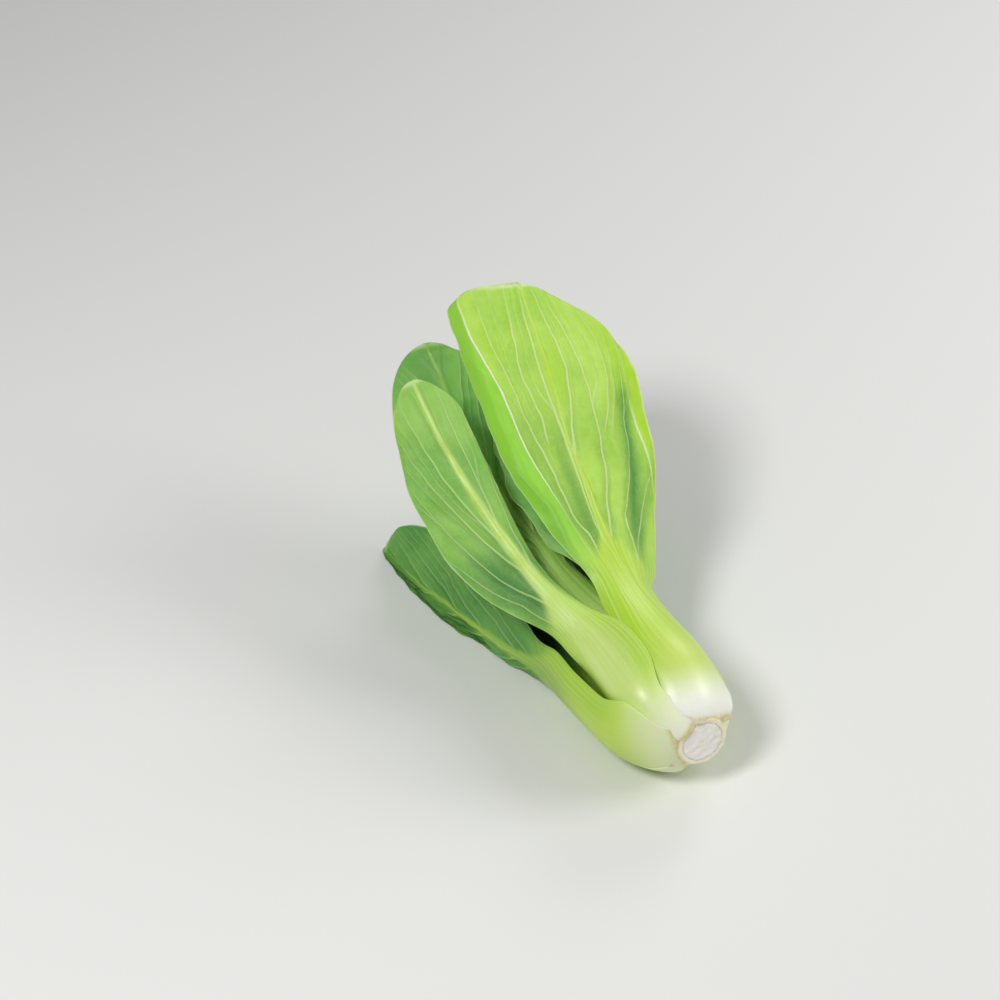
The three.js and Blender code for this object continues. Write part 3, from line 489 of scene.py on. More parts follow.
def leaf_faces(leaf, g):
    """The back and front faces of a leaf as grids of points in mm."""
    point, out, across = spine(leaf, g["q"][:, 0])
    rise = (relief(leaf, g) - g["depth"])[..., None]
    face = point[:, None, :] + across[:, None, :] * g["x"][..., None] + out[:, None, :] * rise
    face[..., 2] += AXIS_HEIGHT
    over = face[..., 2] - FLOOR_GAP
    face[..., 2] = FLOOR_GAP + 0.5 * (over + np.sqrt(over**2 + FLOOR_SOFTNESS**2))
    normal = np.cross(np.gradient(face, axis=0), np.gradient(face, axis=1))
    normal /= np.maximum(np.linalg.norm(normal, axis=2, keepdims=True), TINY)
    thick = np.maximum(profile(leaf["thick"], g["q"]), EDGE_THICKNESS)
    thickness = EDGE_THICKNESS + (thick - EDGE_THICKNESS) * (1 - np.abs(g["u"]) ** FLESH_POWER)
    rib_half = np.maximum(profile(RIB_HALF_WIDTH, g["q"]), LEAST_RIB)
    rib = profile(RIB_HEIGHT, g["q"]) * np.exp(-(g["across"] / rib_half) ** 2)
    lines = LINE_HEIGHT * vein_bumps(g, LINE_HALF, FORK_LINE_HALF)
    back = face + normal * (rib + lines)[..., None]
    front = face - normal * thickness[..., None]
    back[..., 2] = np.maximum(back[..., 2], 0.0)
    front[..., 2] = np.maximum(front[..., 2], PRESSED_FRONT)
    return back, front


def mesh_object(name, points, quads, triangles, values):
    """A smooth mesh from points in mm in the head's frame, with its attributes."""
    mesh = bpy.data.meshes.new(name)
    points = points * MM + np.array(HEAD)
    mesh.vertices.add(len(points))
    mesh.vertices.foreach_set("co", points.astype(np.float32).ravel())
    corners = np.concatenate([np.ravel(quads), np.ravel(triangles)])
    sizes = np.repeat([4, 3], [len(quads), len(triangles)])
    mesh.loops.add(len(corners))
    mesh.loops.foreach_set("vertex_index", corners.astype(np.int32))
    mesh.polygons.add(len(sizes))
    mesh.polygons.foreach_set("loop_start", np.concatenate([[0], np.cumsum(sizes)[:-1]]).astype(np.int32))
    mesh.polygons.foreach_set("use_smooth", np.ones(len(sizes), bool))
    mesh.update(calc_edges=True)
    for key, data in values.items():
        kind, slot = ("FLOAT_VECTOR", "vector") if data.ndim == 2 else ("FLOAT", "value")
        attribute = mesh.attributes.new(key, kind, "POINT")
        attribute.data.foreach_set(slot, data.astype(np.float32).ravel())
    piece = bpy.data.objects.new(name, mesh)
    bpy.context.collection.objects.link(piece)
    return piece


def leaf_object(leaf):
    """One leaf: both faces, its margins and ends closed, and the attributes its material reads."""
    columns, rows = leaf["grid"]
    g = leaf_grid(leaf, columns, rows)
    back, front = leaf_faces(leaf, g)
    n = (rows + 1) * (columns + 1)
    grid = np.arange(n).reshape(rows + 1, columns + 1)
    a, b, c, d = grid[:-1, :-1], grid[1:, :-1], grid[1:, 1:], grid[:-1, 1:]
    right, left, root, tip = grid[:, 0], grid[:, -1], grid[0], grid[-1]
    quads = [np.stack([a, b, c, d], -1).reshape(-1, 4), np.stack([a, d, c, b], -1).reshape(-1, 4) + n,
             np.stack([right[:-1], right[:-1] + n, right[1:] + n, right[1:]], -1),
             np.stack([left[:-1], left[1:], left[1:] + n, left[:-1] + n], -1),
             np.stack([root[:-1], root[1:], root[1:] + n, root[:-1] + n], -1),
             np.stack([tip[:-1], tip[:-1] + n, tip[1:] + n, tip[1:]], -1)]
    read = {"along": "q", "share": "u", "lamina": "lamina", "vein": "vein", "fork": "fork",
            "vein_step": "step", "vein_on": "vein_on", "crease_mm": "crease", "painted_light": "painted_light",
            "painted_shade": "painted_shade"}
    values = {attribute: np.tile(g[key].ravel(), 2) for attribute, key in read.items()}
    values["front"] = np.repeat([0.0, 1.0], n)
    apart = np.full(g["q"].shape, LEAVES_APART * leaf["seed"])
    values["place_mm"] = np.tile(np.stack([g["across"], g["along"], apart], -1).reshape(-1, 3), (2, 1))
    points = np.concatenate([back.reshape(-1, 3), front.reshape(-1, 3)])
    return mesh_object(leaf["node"] + "_skin", points, np.concatenate(quads), [], values)


# ------ the cut stem

# The core's mesh: points round it, rings over the cut face and rings along its side, and how they close up.
TURNS, FACE_RINGS, SIDE_RINGS = 200, 34, 40
FACE_SPREAD, SIDE_SPREAD = 0.85, 1.6
# The ring of fibres and the pith, sunk in the cut face: depth in mm, then place and half-width as shares of
# its radius. Its edge is rounded back by EDGE_DROP over the last EDGE_SPAN of the radius.
FIBRE_RING, PITH = (0.22, 0.80, 0.035), (0.35, 0.0, 0.07)
EDGE_DROP, EDGE_SPAN = 0.55, 0.07
FACE_GRAIN, GRAIN_SPAN = (0.10, 3.4), 0.2  # its roughness, as height and size, and where that sets in
FACE_FADE, FACE_END = 0.03, 0.995  # where its material gives way to the rim's
# The outline: shallow scars all round, a finer unevenness as (height, size), and one notch. Along the side
# the scars and the slant of the slice fade out.
SCAR_DEPTH, SCAR_COUNT, SCAR_PHASE, SCAR_POWER, SCAR_SHARE = 0.25, 2.5, 0.6, 0.6, 0.02
RIM_GRAIN, RIM_STRETCH = (0.10, 6), 8
NOTCH_DEPTH, NOTCH_DEGREES, NOTCH_HALF, NOTCH_FROM = 0.9, 62.0, 0.09, 0.85
SCARS_FADE, SLANT_FADE = 0.25, 0.3
RIM_SEED, FACE_SEED = 71, 72


def sunk(share, depth, place, half):
    return depth * math.exp(-(((share - place) / half) ** 2))


def core_outline(phi):
    """The unevenness of the core's outline round it: its scars, and the depth of its notch."""
    height, size = RIM_GRAIN
    scars = (SCAR_DEPTH * np.abs(np.sin(SCAR_COUNT * phi + SCAR_PHASE)) ** SCAR_POWER
             + height * ripple(phi * RIM_STRETCH, 0.0, RIM_SEED, size))
    off_notch = (phi - math.radians(NOTCH_DEGREES) + math.pi) % (2 * math.pi) - math.pi
    return scars, NOTCH_DEPTH * np.exp(-(off_notch / NOTCH_HALF) ** 2)


def stem_object():
    """The stem core: its sliced end with a sunken ring of fibres and a sunken pith, and its scarred side."""
    phi = np.linspace(0, 2 * math.pi, TURNS, endpoint=False)
    start, radius = STEM_PROFILE[0]
    scars, notch = core_outline(phi)
    rings, shares, faceness = [], [], []

    def add_ring(x, y, up, share, face):
        """One ring of points, and what its material reads."""
        rings.append(np.stack([x, y, AXIS_HEIGHT + up], -1))
        shares.append(np.full(TURNS, share))
        faceness.append(np.full(TURNS, face))

    for k in range(1, FACE_RINGS + 1):
        share = (k / FACE_RINGS) ** FACE_SPREAD
        notched = notch * rising(share, NOTCH_FROM, 1 - NOTCH_FROM)
        r = radius * share * (1 + SCAR_SHARE * share * scars) - notched
        x, up = -r * np.sin(phi), r * np.cos(phi)
        height, size = FACE_GRAIN
        rough = height * ripple(x, up, FACE_SEED, size) * rising(share, 0, GRAIN_SPAN)
        rounded = EDGE_DROP * float(rising(share, 1 - EDGE_SPAN, EDGE_SPAN)) ** 2
        dips = sunk(share, *FIBRE_RING) + sunk(share, *PITH) + rounded + rough
        y = start + CUT_RISE * up + CUT_SIDE * x + dips
        add_ring(x, y, up, share, float(falling(share, FACE_FADE, FACE_END)))
    for k in range(1, SIDE_RINGS + 1):
        t = k / SIDE_RINGS
        on_axis = start + (STEM_TOP - start) * t**SIDE_SPREAD
        fade = 1 - rising(t, 0, SCARS_FADE)
        r = np.interp(on_axis, *np.array(STEM_PROFILE, float).T)
        r = r * (1 + SCAR_SHARE * scars * fade) - notch * fade
        x, up = -r * np.sin(phi), r * np.cos(phi)
        slant = (CUT_RISE * up + CUT_SIDE * x) * (1 - rising(t, 0, SLANT_FADE))
        add_ring(x, on_axis + slant + EDGE_DROP * fade, up, 1.0 + t, 0.0)
    ends = [np.array([[0, start + PITH[0], AXIS_HEIGHT]]), np.array([[0, STEM_TOP, AXIS_HEIGHT]])]
    points = np.concatenate([ends[0], *rings, ends[1]])
    ring = 1 + np.arange(len(rings) * TURNS).reshape(len(rings), TURNS)
    following = np.roll(ring, -1, axis=1)
    quads = np.stack([ring[:-1], ring[1:], following[1:], following[:-1]], -1).reshape(-1, 4)
    last = len(points) - 1
    fans = [(0, ring[0, k], following[0, k]) for k in range(TURNS)]
    fans += [(last, following[-1, k], ring[-1, k]) for k in range(TURNS)]
    values = {"radius_share": np.concatenate([[0.0], *shares, [2.0]]),
              "cut_face": np.concatenate([[1.0], *faceness, [0.0]]), "place_mm": points}
    return mesh_object("stem_base_skin", points, quads, fans, values)


# ------ materials

def linear(code):
    """A #rrggbb colour as linear values."""
    parts = [int(code[i:i + 2], 16) / 255 for i in (1, 3, 5)]
    return [p / 12.92 if p <= 0.04045 else ((p + 0.055) / 1.055) ** 2.4 for p in parts] + [1.0]


class Graph:
    """Short names for building a material's nodes."""

    def __init__(self, name):
        self.material = bpy.data.materials.new(name)
        self.material.use_nodes = True
        self.nodes, self.links = self.material.node_tree.nodes, self.material.node_tree.links
        self.shader = self.nodes["Principled BSDF"]

    def feed(self, socket, value):
        if isinstance(value, bpy.types.NodeSocket):
            self.links.new(value, socket)
        else:
            socket.default_value = value

    def fed(self, kind, values, **settings):
        """A new node with its settings and its first inputs."""
        node = self.nodes.new(kind)
        for key, setting in settings.items():
            setattr(node, key, setting)
        for socket, value in zip(node.inputs, values):
            self.feed(socket, value)
        return node

    def read(self, name, output="Fac"):
        return self.fed("ShaderNodeAttribute", (), attribute_name=name).outputs[output]

    def math(self, operation, a, b=0.0, c=0.0):
        return self.fed("ShaderNodeMath", (a, b, c), operation=operation).outputs[0]

    def product(self, first, *others):
        """All the masks multiplied together."""
        for other in others:
            first = self.math("MULTIPLY", first, other)
        return first

    def ramp(self, x, start, end, first=0.0, last=1.0):
        """x from start..end, eased, to first..last."""
        values = (x, start, end, first, last)
        return self.fed("ShaderNodeMapRange", values, interpolation_type="SMOOTHSTEP").outputs[0]

    def mix(self, factor, a, b):
        node = self.fed("ShaderNodeMix", (factor,), data_type="RGBA")
        self.feed(node.inputs[6], a)
        self.feed(node.inputs[7], b)
        return node.outputs[2]

    def vector(self, operation, a, b, c=(0.0, 0.0, 0.0)):
        return self.fed("ShaderNodeVectorMath", (a, b, c), operation=operation).outputs[0]

    def named(self, node, **values):
        """The node, its inputs fed by name."""
        for name, value in values.items():
            self.feed(node.inputs[name.replace("_", " ")], value)
        return node

    def noise(self, vector, scale, detail, roughness, output="Fac"):
        node = self.named(self.nodes.new("ShaderNodeTexNoise"), Vector=vector, Scale=scale, Detail=detail,
                          Roughness=roughness)
        return node.outputs[output]

    def cell_edges(self, vector, scale):
        node = self.fed("ShaderNodeTexVoronoi", (), feature="DISTANCE_TO_EDGE")
        return self.named(node, Vector=vector, Scale=scale).outputs["Distance"]

    def bump(self, height, distance_mm, strength, *normal):
        """The normal after a bump, over another normal where one is given."""
        node = self.named(self.nodes.new("ShaderNodeBump"), Height=height, Distance=distance_mm * MM,
                          Strength=strength)
        for socket in normal:
            self.feed(node.inputs["Normal"], socket)
        return node.outputs["Normal"]

    def glow(self, weight, radius):
        """Light that goes into the flesh: how much, and how far in red, green and blue."""
        self.named(self.shader, Subsurface_Weight=weight, Subsurface_Radius=radius,
                   Subsurface_Scale=FLESH_DEPTH * MM)


FLESH_DEPTH = 2.5  # how deep light goes into the flesh, in mm
LINE_CORE = 0.3  # share of a vein line's half-width that is fully drawn


def vein_line(g, field, step, half):
    """1 on the veins of a field, falling to 0 at `half` mm from their middle."""
    shifted = g.math("FRACT", g.math("ADD", field, 0.5))
    away = g.math("MULTIPLY", g.math("ABSOLUTE", g.math("SUBTRACT", shifted, 0.5)), step)
    return g.ramp(g.math("DIVIDE", away, half), LINE_CORE, 1.0, 1.0, 0.0)


# Each kind of leaf: its colours, the spans along it where its stalk turns from white to green and from green
# to the neck's green, and how strongly its veins show.
# Four colours of each kind stand for light: one limy green is painted light shining through and bounced
# between leaves, one dark green painted shade, and two pale ones painted highlights on the crests of creases
# and along the margins.
TINTS = {
    "fresh": dict(
        base="#fbfdf0", stalk="#cbe070", neck="#b9da46", painted_light="#a9d42c", streak="#e2f0ae",
        crest_highlight="#f3fbd2", blade="#b4dc56", deep="#a0ce46", light="#c8ea80", front="#6ba63c",
        vein="#dcefa4", margin="#e0f0b4", strip="#92d438", painted_shade="#5c9a36", white_to=(0.035, 0.135),
        neck_to=(0.13, 0.24), vein_show=0.6),
    "soft": dict(
        base="#f4f8de", stalk="#cfe684", neck="#bfde6a", painted_light="#aed446", streak="#e0f0ae",
        crest_highlight="#e0f0ae", blade="#92c456", deep="#7ab44c", light="#aad270", front="#4f8c38",
        vein="#cbe596", margin="#d2e6aa", strip="#7cb44a", painted_shade="#3f7f3c", white_to=(0.02, 0.17),
        neck_to=(0.26, 0.42), vein_show=0.5),
    "deep": dict(
        base="#e8f0c4", stalk="#c2de58", neck="#92bc44", painted_light="#a6d038", streak="#d0e48a",
        crest_highlight="#d0e48a", blade="#66a248", deep="#4e8e3c", light="#7cb254", front="#3f7f34",
        vein="#9dc878", margin="#b4d494", strip="#6aa844", painted_shade="#35702f", white_to=(0.02, 0.15),
        neck_to=(0.22, 0.38), vein_show=0.5),
    "inner": dict(
        base="#e2ebc6", stalk="#bcd774", neck="#9cc65a", painted_light="#9cc84c", streak="#d2e6a2",
        crest_highlight="#d2e6a2", blade="#8ac65a", deep="#6cb04e", light="#9ccc6c", front="#46862f",
        vein="#b4da8c", margin="#c4e0a0", strip="#6aa844", painted_shade="#2f6a3a", white_to=(0.05, 0.22),
        neck_to=(0.22, 0.38), vein_show=0.45),
    "heart": dict(
        base="#eef2d8", stalk="#d4e69c", neck="#c0dc78", painted_light="#b8d868", streak="#e2f0bc",
        crest_highlight="#e2f0bc", blade="#9cca5c", deep="#78b046", light="#b2d874", front="#88bc4c",
        vein="#cbe498", margin="#d4e8a8", strip="#9cca5c", painted_shade="#5c9a3c", white_to=(0.05, 0.25),
        neck_to=(0.22, 0.38), vein_show=0.45),
}

# Noise in the leaves' material, as (scale, detail, roughness), and how fine the fibres are across and along.
CLOUD, MOTTLE, FIBRE, SWIRL = (0.035, 3.0, 0.5), (0.35, 4.0, 0.6), (0.9, 3.0, 0.62), (0.25, 1.0, 0.5)
FIBRE_STRETCH = (18.0, 3.0)

# Where each mark on a leaf shows, as (from, to), with its strength at both where that isn't 0 and 1: _UP runs
# along the leaf, _OUT across half of it, _MM in mm and _NOISE in a noise's value. _SHOWN is a whole strength.
# The flank mark is painted light: the lime glow of light shining through and bounced between the leaves.
FLANK_OUT, FLANK_UP, FLANK_SHOWN = (0.20, 0.80), (0.09, 0.21), 0.9
STREAK_NOISE, STREAK_UP = (0.42, 0.70), (0.10, 0.34, 0.10, 0.45)
SCAR_UP, SCAR_NOISE, SCAR_COLOUR = (0.008, 0.024, 0.9, 0.0), (0.35, 0.6, 0.5, 1.0), "#d9c680"
CLOUD_NOISE, LIGHT_NOISE, LIGHT_SHOWN = (0.36, 0.64), (0.3, 0.75), 0.2
RIGHT_TO_LEFT = (-0.1, 0.1)
# Beyond a crease the margin is painted brighter: on the right with painted light shining through it, on the
# left in the strip's green.
STRIP_SOFT_RIGHT, STRIP_SOFT_LEFT = 3.0, 1.0  # softness of the strip beyond a crease
STRIP_MM, STRIP_UP = (-0.6, 1.2, 0.0, 0.9), (0.38, 0.50)
FRONT_SHOWN, FRONT_VEINS = 0.85, 0.7
# Painted shade along each vein, under its pale line.
BESIDE_HALF, BESIDE_UP = 3.4, (0.45, 0.85, 0.30, 0.0)
VEIN_LINE_OUT = (0.0, 1.0, 0.80, 0.34)  # half-width in mm of a vein's line, from the midrib to the margin
FORK_LINE, FORK_UP = 0.36, (0.60, 0.72, 0.0, 0.6)
NET_BEND, NET_STRETCH, NET_SCALE = (5.0, 5.0, 0.0), (1.0, 0.7, 1.0), 0.24
NET_LINE, NET_SHOWN = (0.01, 0.08, 1.0, 0.0), 0.12
VEINS_OUT, VEINS_UP, VEINS_MM = (0.86, 1.0, 1.0, 0.2), (0.88, 0.98, 1.0, 0.2), (-0.6, 0.6, 1.0, 0.15)
# The crest of a crease carries a painted highlight.
CREST_MM, CREST_UP, CREST_SHOWN = (0.15, 0.70, 1.0, 0.0), (0.48, 0.66, 0.1, 1.0), 0.95
LEFT_CREST_UP, RIGHT_CREST_UP = (0.86, 0.98, 1.0, 0.5), (0.62, 0.74, 0.8, 0.08)
# The margins and the tip carry a painted highlight, where thin edges catch the light.
MARGIN_OUT, MARGIN_UP = (0.975, 1.0, 0.0, 0.7), (0.985, 0.997, 0.0, 0.7)

# The leaves' surface: roughness from stalk to blade and what mottling adds to it, light in the flesh, and
# bumps as (height in mm, strength).
LEAF_ROUGHNESS, MOTTLED_ROUGHNESS, LEAF_SPECULAR = (0.0, 1.0, 0.30, 0.50), 0.12, 0.45
LEAF_GLOW = (0.30, (0.8, 1.0, 0.35))
VEIN_BUMP, GROOVE_BUMP, MOTTLE_BUMP, GROOVE_UP = (0.30, 1.0), (0.45, 0.7), (0.30, 0.30), (0.2, 0.4)


def stalk_paint(g, at, colour, tint):
    """Stalk: white where it leaves the stem, then greener upwards, with a painted lime glow of light on the
    flanks.
    """
    along = at["along"]
    stalk = g.mix(g.ramp(along, *tint["white_to"]), colour["base"], colour["stalk"])
    stalk = g.mix(g.ramp(along, *tint["neck_to"]), stalk, colour["neck"])
    # Painted light: a lime glow on the stalk's flanks, where light shines through and is bounced between the
    # leaves.
    flank = g.product(g.ramp(at["out"], *FLANK_OUT), g.ramp(along, *FLANK_UP), FLANK_SHOWN)
    stalk = g.mix(flank, stalk, colour["painted_light"])
    streak = g.product(g.ramp(at["fibre"], *STREAK_NOISE), g.ramp(along, *STREAK_UP))
    stalk = g.mix(streak, stalk, colour["streak"])
    scar = g.product(g.ramp(along, *SCAR_UP), g.ramp(at["mottle"], *SCAR_NOISE))
    return g.mix(scar, stalk, linear(SCAR_COLOUR))


def vein_marks(g, at):
    """How much veins show, and the crest of a crease, where a highlight is painted."""
    along, out, place = at["along"], at["out"], at["place"]
    main = g.product(vein_line(g, at["vein"], at["vein_step"], g.ramp(out, *VEIN_LINE_OUT)), at["vein_on"])
    fork = g.product(vein_line(g, at["fork"], at["vein_step"], FORK_LINE), g.ramp(along, *FORK_UP))
    warped = g.vector("MULTIPLY_ADD", g.noise(place, *SWIRL, "Color"), NET_BEND,
                      g.vector("MULTIPLY", place, NET_STRETCH))
    net = g.product(g.ramp(g.cell_edges(warped, NET_SCALE), *NET_LINE), NET_SHOWN)
    veins = g.product(g.math("MAXIMUM", g.math("MAXIMUM", main, fork), net), g.ramp(out, *VEINS_OUT),
                      g.ramp(along, *VEINS_UP), g.ramp(at["crease_mm"], *VEINS_MM))
    kept_left = g.product(g.ramp(along, *LEFT_CREST_UP), at["leftness"])
    crest_highlight = g.product(g.ramp(g.math("ABSOLUTE", at["crease_mm"]), *CREST_MM), g.ramp(along, *CREST_UP),
                      g.math("MAXIMUM", kept_left, g.ramp(along, *RIGHT_CREST_UP)))
    return veins, crest_highlight


def blade_paint(g, at, colour, tint, veins, crest_highlight):
    """Blade: softly clouded green, a pale net of veins with painted shade beside them, darker on the front.
    """
    along, leftness = at["along"], at["leftness"]
    blade = g.mix(g.ramp(g.noise(at["place"], *CLOUD), *CLOUD_NOISE), colour["deep"], colour["blade"])
    blade = g.mix(g.product(g.ramp(at["mottle"], *LIGHT_NOISE), LIGHT_SHOWN), blade, colour["light"])
    # Strokes of painted light in limier green and of painted shade in darker green.
    for stroke in ("painted_light", "painted_shade"):
        blade = g.mix(g.math("MINIMUM", g.read(stroke), 1.0), blade, colour[stroke])
    # Beyond a crease: painted light on the right, the strip's brighter green on the left.
    softness = g.math("MULTIPLY_ADD", leftness, STRIP_SOFT_LEFT - STRIP_SOFT_RIGHT, STRIP_SOFT_RIGHT)
    strip_shown = g.ramp(g.math("DIVIDE", at["crease_mm"], softness), *STRIP_MM)
    strip_shown = g.product(strip_shown, g.ramp(along, *STRIP_UP))
    blade = g.mix(strip_shown, blade, g.mix(leftness, colour["painted_light"], colour["strip"]))
    blade = g.mix(g.product(at["front"], FRONT_SHOWN), blade, colour["front"])
    # Painted shade along the veins, under their pale lines.
    beside = g.product(vein_line(g, at["vein"], at["vein_step"], BESIDE_HALF),
                       g.ramp(along, *BESIDE_UP), at["vein_on"])
    blade = g.mix(beside, blade, colour["painted_shade"])
    shown = g.ramp(at["front"], 0.0, 1.0, tint["vein_show"], tint["vein_show"] * FRONT_VEINS)
    blade = g.mix(g.product(veins, shown), blade, colour["vein"])
    # Painted highlight along the crest of a crease.
    blade = g.mix(g.product(crest_highlight, CREST_SHOWN), blade, colour["crest_highlight"])
    # Painted highlight: a pale line along the margins and at the tip, where thin edges catch the light.
    margin = g.math("MAXIMUM", g.ramp(at["out"], *MARGIN_OUT), g.ramp(along, *MARGIN_UP))
    return g.mix(margin, blade, colour["margin"])


def leaf_material(name, tint):
    """Leaf skin: white stalk base, yellow-green stalk, green blade with pale veins, darker in front."""
    g = Graph(name)
    at = {key: g.read(key) for key in ("along", "share", "lamina", "front", "crease_mm", "vein", "vein_on",
                                       "vein_step", "fork")}
    at["place"], at["out"] = g.read("place_mm", "Vector"), g.math("ABSOLUTE", at["share"])
    at["leftness"], at["mottle"] = g.ramp(at["share"], *RIGHT_TO_LEFT), g.noise(at["place"], *MOTTLE)
    threads = g.nodes.new("ShaderNodeCombineXYZ")
    for socket, key, stretch in zip(threads.inputs, ("share", "along"), FIBRE_STRETCH):
        g.feed(socket, g.product(at[key], stretch))
    at["fibre"] = g.noise(threads.outputs[0], *FIBRE)
    colour = {key: linear(value) for key, value in tint.items() if isinstance(value, str)}
    veins, crest_highlight = vein_marks(g, at)
    blade = blade_paint(g, at, colour, tint, veins, crest_highlight)
    g.feed(g.shader.inputs["Base Color"], g.mix(at["lamina"], stalk_paint(g, at, colour, tint), blade))
    gloss = g.ramp(at["lamina"], *LEAF_ROUGHNESS)
    g.feed(g.shader.inputs["Roughness"], g.math("MULTIPLY_ADD", at["mottle"], MOTTLED_ROUGHNESS, gloss))
    g.shader.inputs["Specular IOR Level"].default_value = LEAF_SPECULAR
    g.glow(*LEAF_GLOW)

    # Veins stand out of the back and are sunk in the front; a stalk is grooved along its fibres.
    outwards = g.ramp(at["front"], 0.0, 1.0, 1.0, -1.0)
    raised = g.product(g.math("MAXIMUM", veins, crest_highlight), at["lamina"], outwards)
    grooved = g.product(at["fibre"], g.math("SUBTRACT", 1.0, at["lamina"]), g.ramp(at["along"], *GROOVE_UP))
    normal = g.bump(grooved, *GROOVE_BUMP, g.bump(raised, *VEIN_BUMP))
    g.feed(g.shader.inputs["Normal"], g.bump(at["mottle"], *MOTTLE_BUMP, normal))
    return g.material


# The cut stem: its colours, noise as (scale, detail, roughness), and where its marks show, as on the leaves.
# _OUT runs from the middle of the face (0) over its edge (1) to the inner end of the side (2).
STEM_COLOURS = {
    "grey": "#f2efe6", "white": "#fbf8ef", "grain": "#ddd6c8", "ring": "#d3c294", "edge": "#f6ebc4",
    "pith": "#d8d0bc", "cream": "#faf0c4", "yellow": "#efdc8a", "scar": "#c8a868", "core": "#e6ecc8"}
GRAIN, PATCH = (1.1, 4.0, 0.6), (0.16, 3.0, 0.5)
PATCH_NOISE, GRAIN_NOISE, GRAIN_SHOWN = (0.35, 0.65), (0.55, 0.75), 0.3
RING_OUT, RING_END_OUT, RING_NOISE = (0.74, 0.80), (0.80, 0.86, 1.0, 0.0), (0.3, 0.6, 0.15, 0.75)
EDGE_OUT, PITH_OUT, CORE_OUT = (0.84, 0.92, 0.0, 0.85), (0.03, 0.10, 0.45, 0.0), (1.15, 1.4)
YELLOW_NOISE, RIM_SCAR_NOISE, RIM_SCAR_SHOWN = (0.42, 0.62), (0.58, 0.72), 0.4
STEM_ROUGHNESS, STEM_BUMP, STEM_GLOW = (0.3, 0.7, 0.38, 0.6), (0.35, 0.7), (0.35, (1.0, 0.9, 0.7))


def stem_material():
    """The cut stem: a warm white face with a fibre ring and pith, and a cream rim with yellow scars."""
    g = Graph("cut_stem_flesh")
    share, place = g.read("radius_share"), g.read("place_mm", "Vector")
    grain, patch = g.noise(place, *GRAIN), g.noise(place, *PATCH)
    colour = {key: linear(code) for key, code in STEM_COLOURS.items()}
    flesh = g.mix(g.ramp(patch, *PATCH_NOISE), colour["grey"], colour["white"])
    flesh = g.mix(g.product(g.ramp(grain, *GRAIN_NOISE), GRAIN_SHOWN), flesh, colour["grain"])
    ring = g.product(g.ramp(share, *RING_OUT), g.ramp(share, *RING_END_OUT), g.ramp(grain, *RING_NOISE))
    flesh = g.mix(ring, flesh, colour["ring"])
    flesh = g.mix(g.ramp(share, *EDGE_OUT), flesh, colour["edge"])
    flesh = g.mix(g.ramp(share, *PITH_OUT), flesh, colour["pith"])
    rim = g.mix(g.ramp(patch, *YELLOW_NOISE), colour["cream"], colour["yellow"])
    rim = g.mix(g.product(g.ramp(grain, *RIM_SCAR_NOISE), RIM_SCAR_SHOWN), rim, colour["scar"])
    rim = g.mix(g.ramp(share, *CORE_OUT), rim, colour["core"])
    g.feed(g.shader.inputs["Base Color"], g.mix(g.read("cut_face"), rim, flesh))
    g.feed(g.shader.inputs["Roughness"], g.ramp(grain, *STEM_ROUGHNESS))
    g.glow(*STEM_GLOW)
    g.feed(g.shader.inputs["Normal"], g.bump(grain, *STEM_BUMP))
    return g.material


# ------ the head

def place_piece(piece, material, node):
    piece.data.materials.append(material)
    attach(piece, "root")
    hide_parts(node)


skins = {name: leaf_material("leaf_" + name, tint) for name, tint in TINTS.items()}
place_piece(stem_object(), stem_material(), "stem_base")
for number, leaf in enumerate(LEAVES):
    leaf["seed"] = number + 1
    place_piece(leaf_object(leaf), skins[leaf["tint"]], leaf["node"])


# ------ floor, light and camera

FLOOR_HALF, FLOOR_COLOUR, FLOOR_ROUGHNESS = 3.0, (0.80, 0.80, 0.78, 1), 0.7  # half-width in metres
WORLD_LIGHT = 0.26
# Round lamps: name, azimuth, elevation, distance and size in metres, and watts. They face LIT_SPOT.
LIGHTS = [("key", -75, 52, 1.1, 0.32, 6.4), ("fill", 60, 34, 1.2, 0.6, 5.4), ("rim", 120, 35, 1.2, 0.5, 2.6)]
LIT_SPOT = Vector((0, 0, 0.04))

CAMERA_AZIMUTH, CAMERA_ELEVATION = -31.0, 40.0
LENS, SENSOR, CLIP = 80.0, 36.0, (0.01, 20.0)
PICTURE = 1000.0  # the picture's width and height, in pixels
PIXELS_PER_MM = 2.5  # at the cut face
FACE_PIXEL = (702.0, 741.0)  # where the middle of the cut face lies in the picture
FACE_MIDDLE = Vector((0.0, -3.5, AXIS_HEIGHT)) * MM + HEAD


def added(name, data):
    """A new object in the scene."""
    thing = bpy.data.objects.new(name, data)
    bpy.context.collection.objects.link(thing)
    return thing


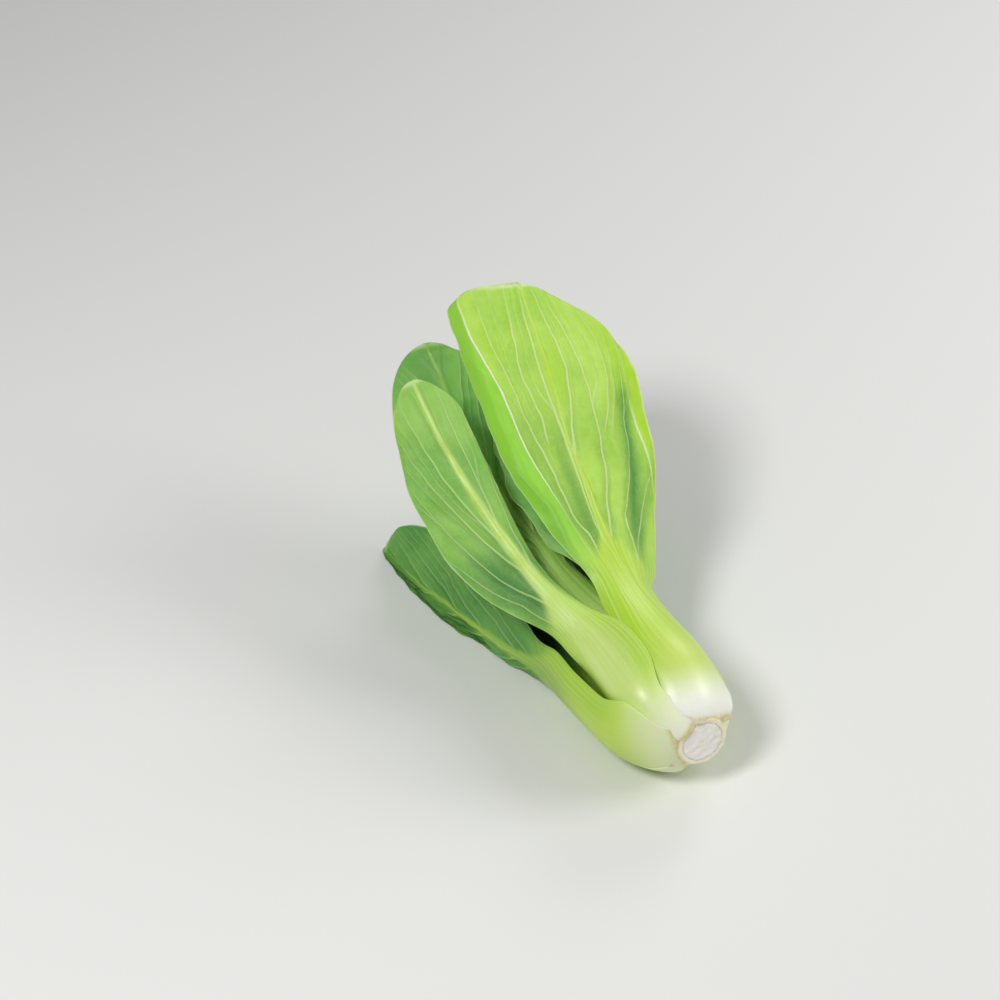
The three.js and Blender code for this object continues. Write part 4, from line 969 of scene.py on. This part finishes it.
def away(azimuth, elevation):
    """Direction from the head: azimuth 0 is towards -Y and 90 towards +X."""
    a, e = math.radians(azimuth), math.radians(elevation)
    return Vector((math.sin(a) * math.cos(e), -math.cos(a) * math.cos(e), math.sin(e)))


def make_floor():
    mesh, h = bpy.data.meshes.new("floor"), FLOOR_HALF
    mesh.from_pydata([(-h, -h, 0), (h, -h, 0), (h, h, 0), (-h, h, 0)], [], [(0, 1, 2, 3)])
    g = Graph("pale_floor")
    g.shader.inputs["Base Color"].default_value = FLOOR_COLOUR
    g.shader.inputs["Roughness"].default_value = FLOOR_ROUGHNESS
    mesh.materials.append(g.material)
    floor = added("floor", mesh)


def make_lights():
    world = bpy.data.worlds.new("studio")
    world.use_nodes = True
    background = world.node_tree.nodes["Background"]
    background.inputs[0].default_value = (1.0, 1.0, 1.0, 1)
    background.inputs[1].default_value = WORLD_LIGHT
    bpy.context.scene.world = world
    for name, azimuth, elevation, distance, size, watts in LIGHTS:
        data = bpy.data.lights.new(name, "AREA")
        data.shape, data.size, data.energy = "DISK", size, watts
        lamp = added(name, data)
        lamp.location = LIT_SPOT + away(azimuth, elevation) * distance
        lamp.rotation_mode = "QUATERNION"
        lamp.rotation_quaternion = (-away(azimuth, elevation)).to_track_quat("-Z", "Y")


def make_camera():
    """The camera, moved sideways and up until the cut face lies at FACE_PIXEL."""
    back = away(CAMERA_AZIMUTH, CAMERA_ELEVATION)
    a = math.radians(CAMERA_AZIMUTH)
    right = Vector((math.cos(a), math.sin(a), 0.0))
    up = back.cross(right)
    focal = LENS / SENSOR * PICTURE
    depth = focal / PIXELS_PER_MM * MM
    data = bpy.data.cameras.new("camera")
    data.lens, data.sensor_width = LENS, SENSOR
    data.clip_start, data.clip_end = CLIP
    camera = added("camera", data)
    over, under = [(pixel - PICTURE / 2) / focal * depth for pixel in FACE_PIXEL]
    spot = FACE_MIDDLE + back * depth - right * over + up * under
    turn = Matrix((right, up, back)).transposed().to_4x4()
    camera.matrix_world = Matrix.Translation(spot) @ turn
    bpy.context.scene.camera = camera


make_floor()
make_lights()
make_camera()
bpy.context.scene.view_settings.view_transform = "Standard"
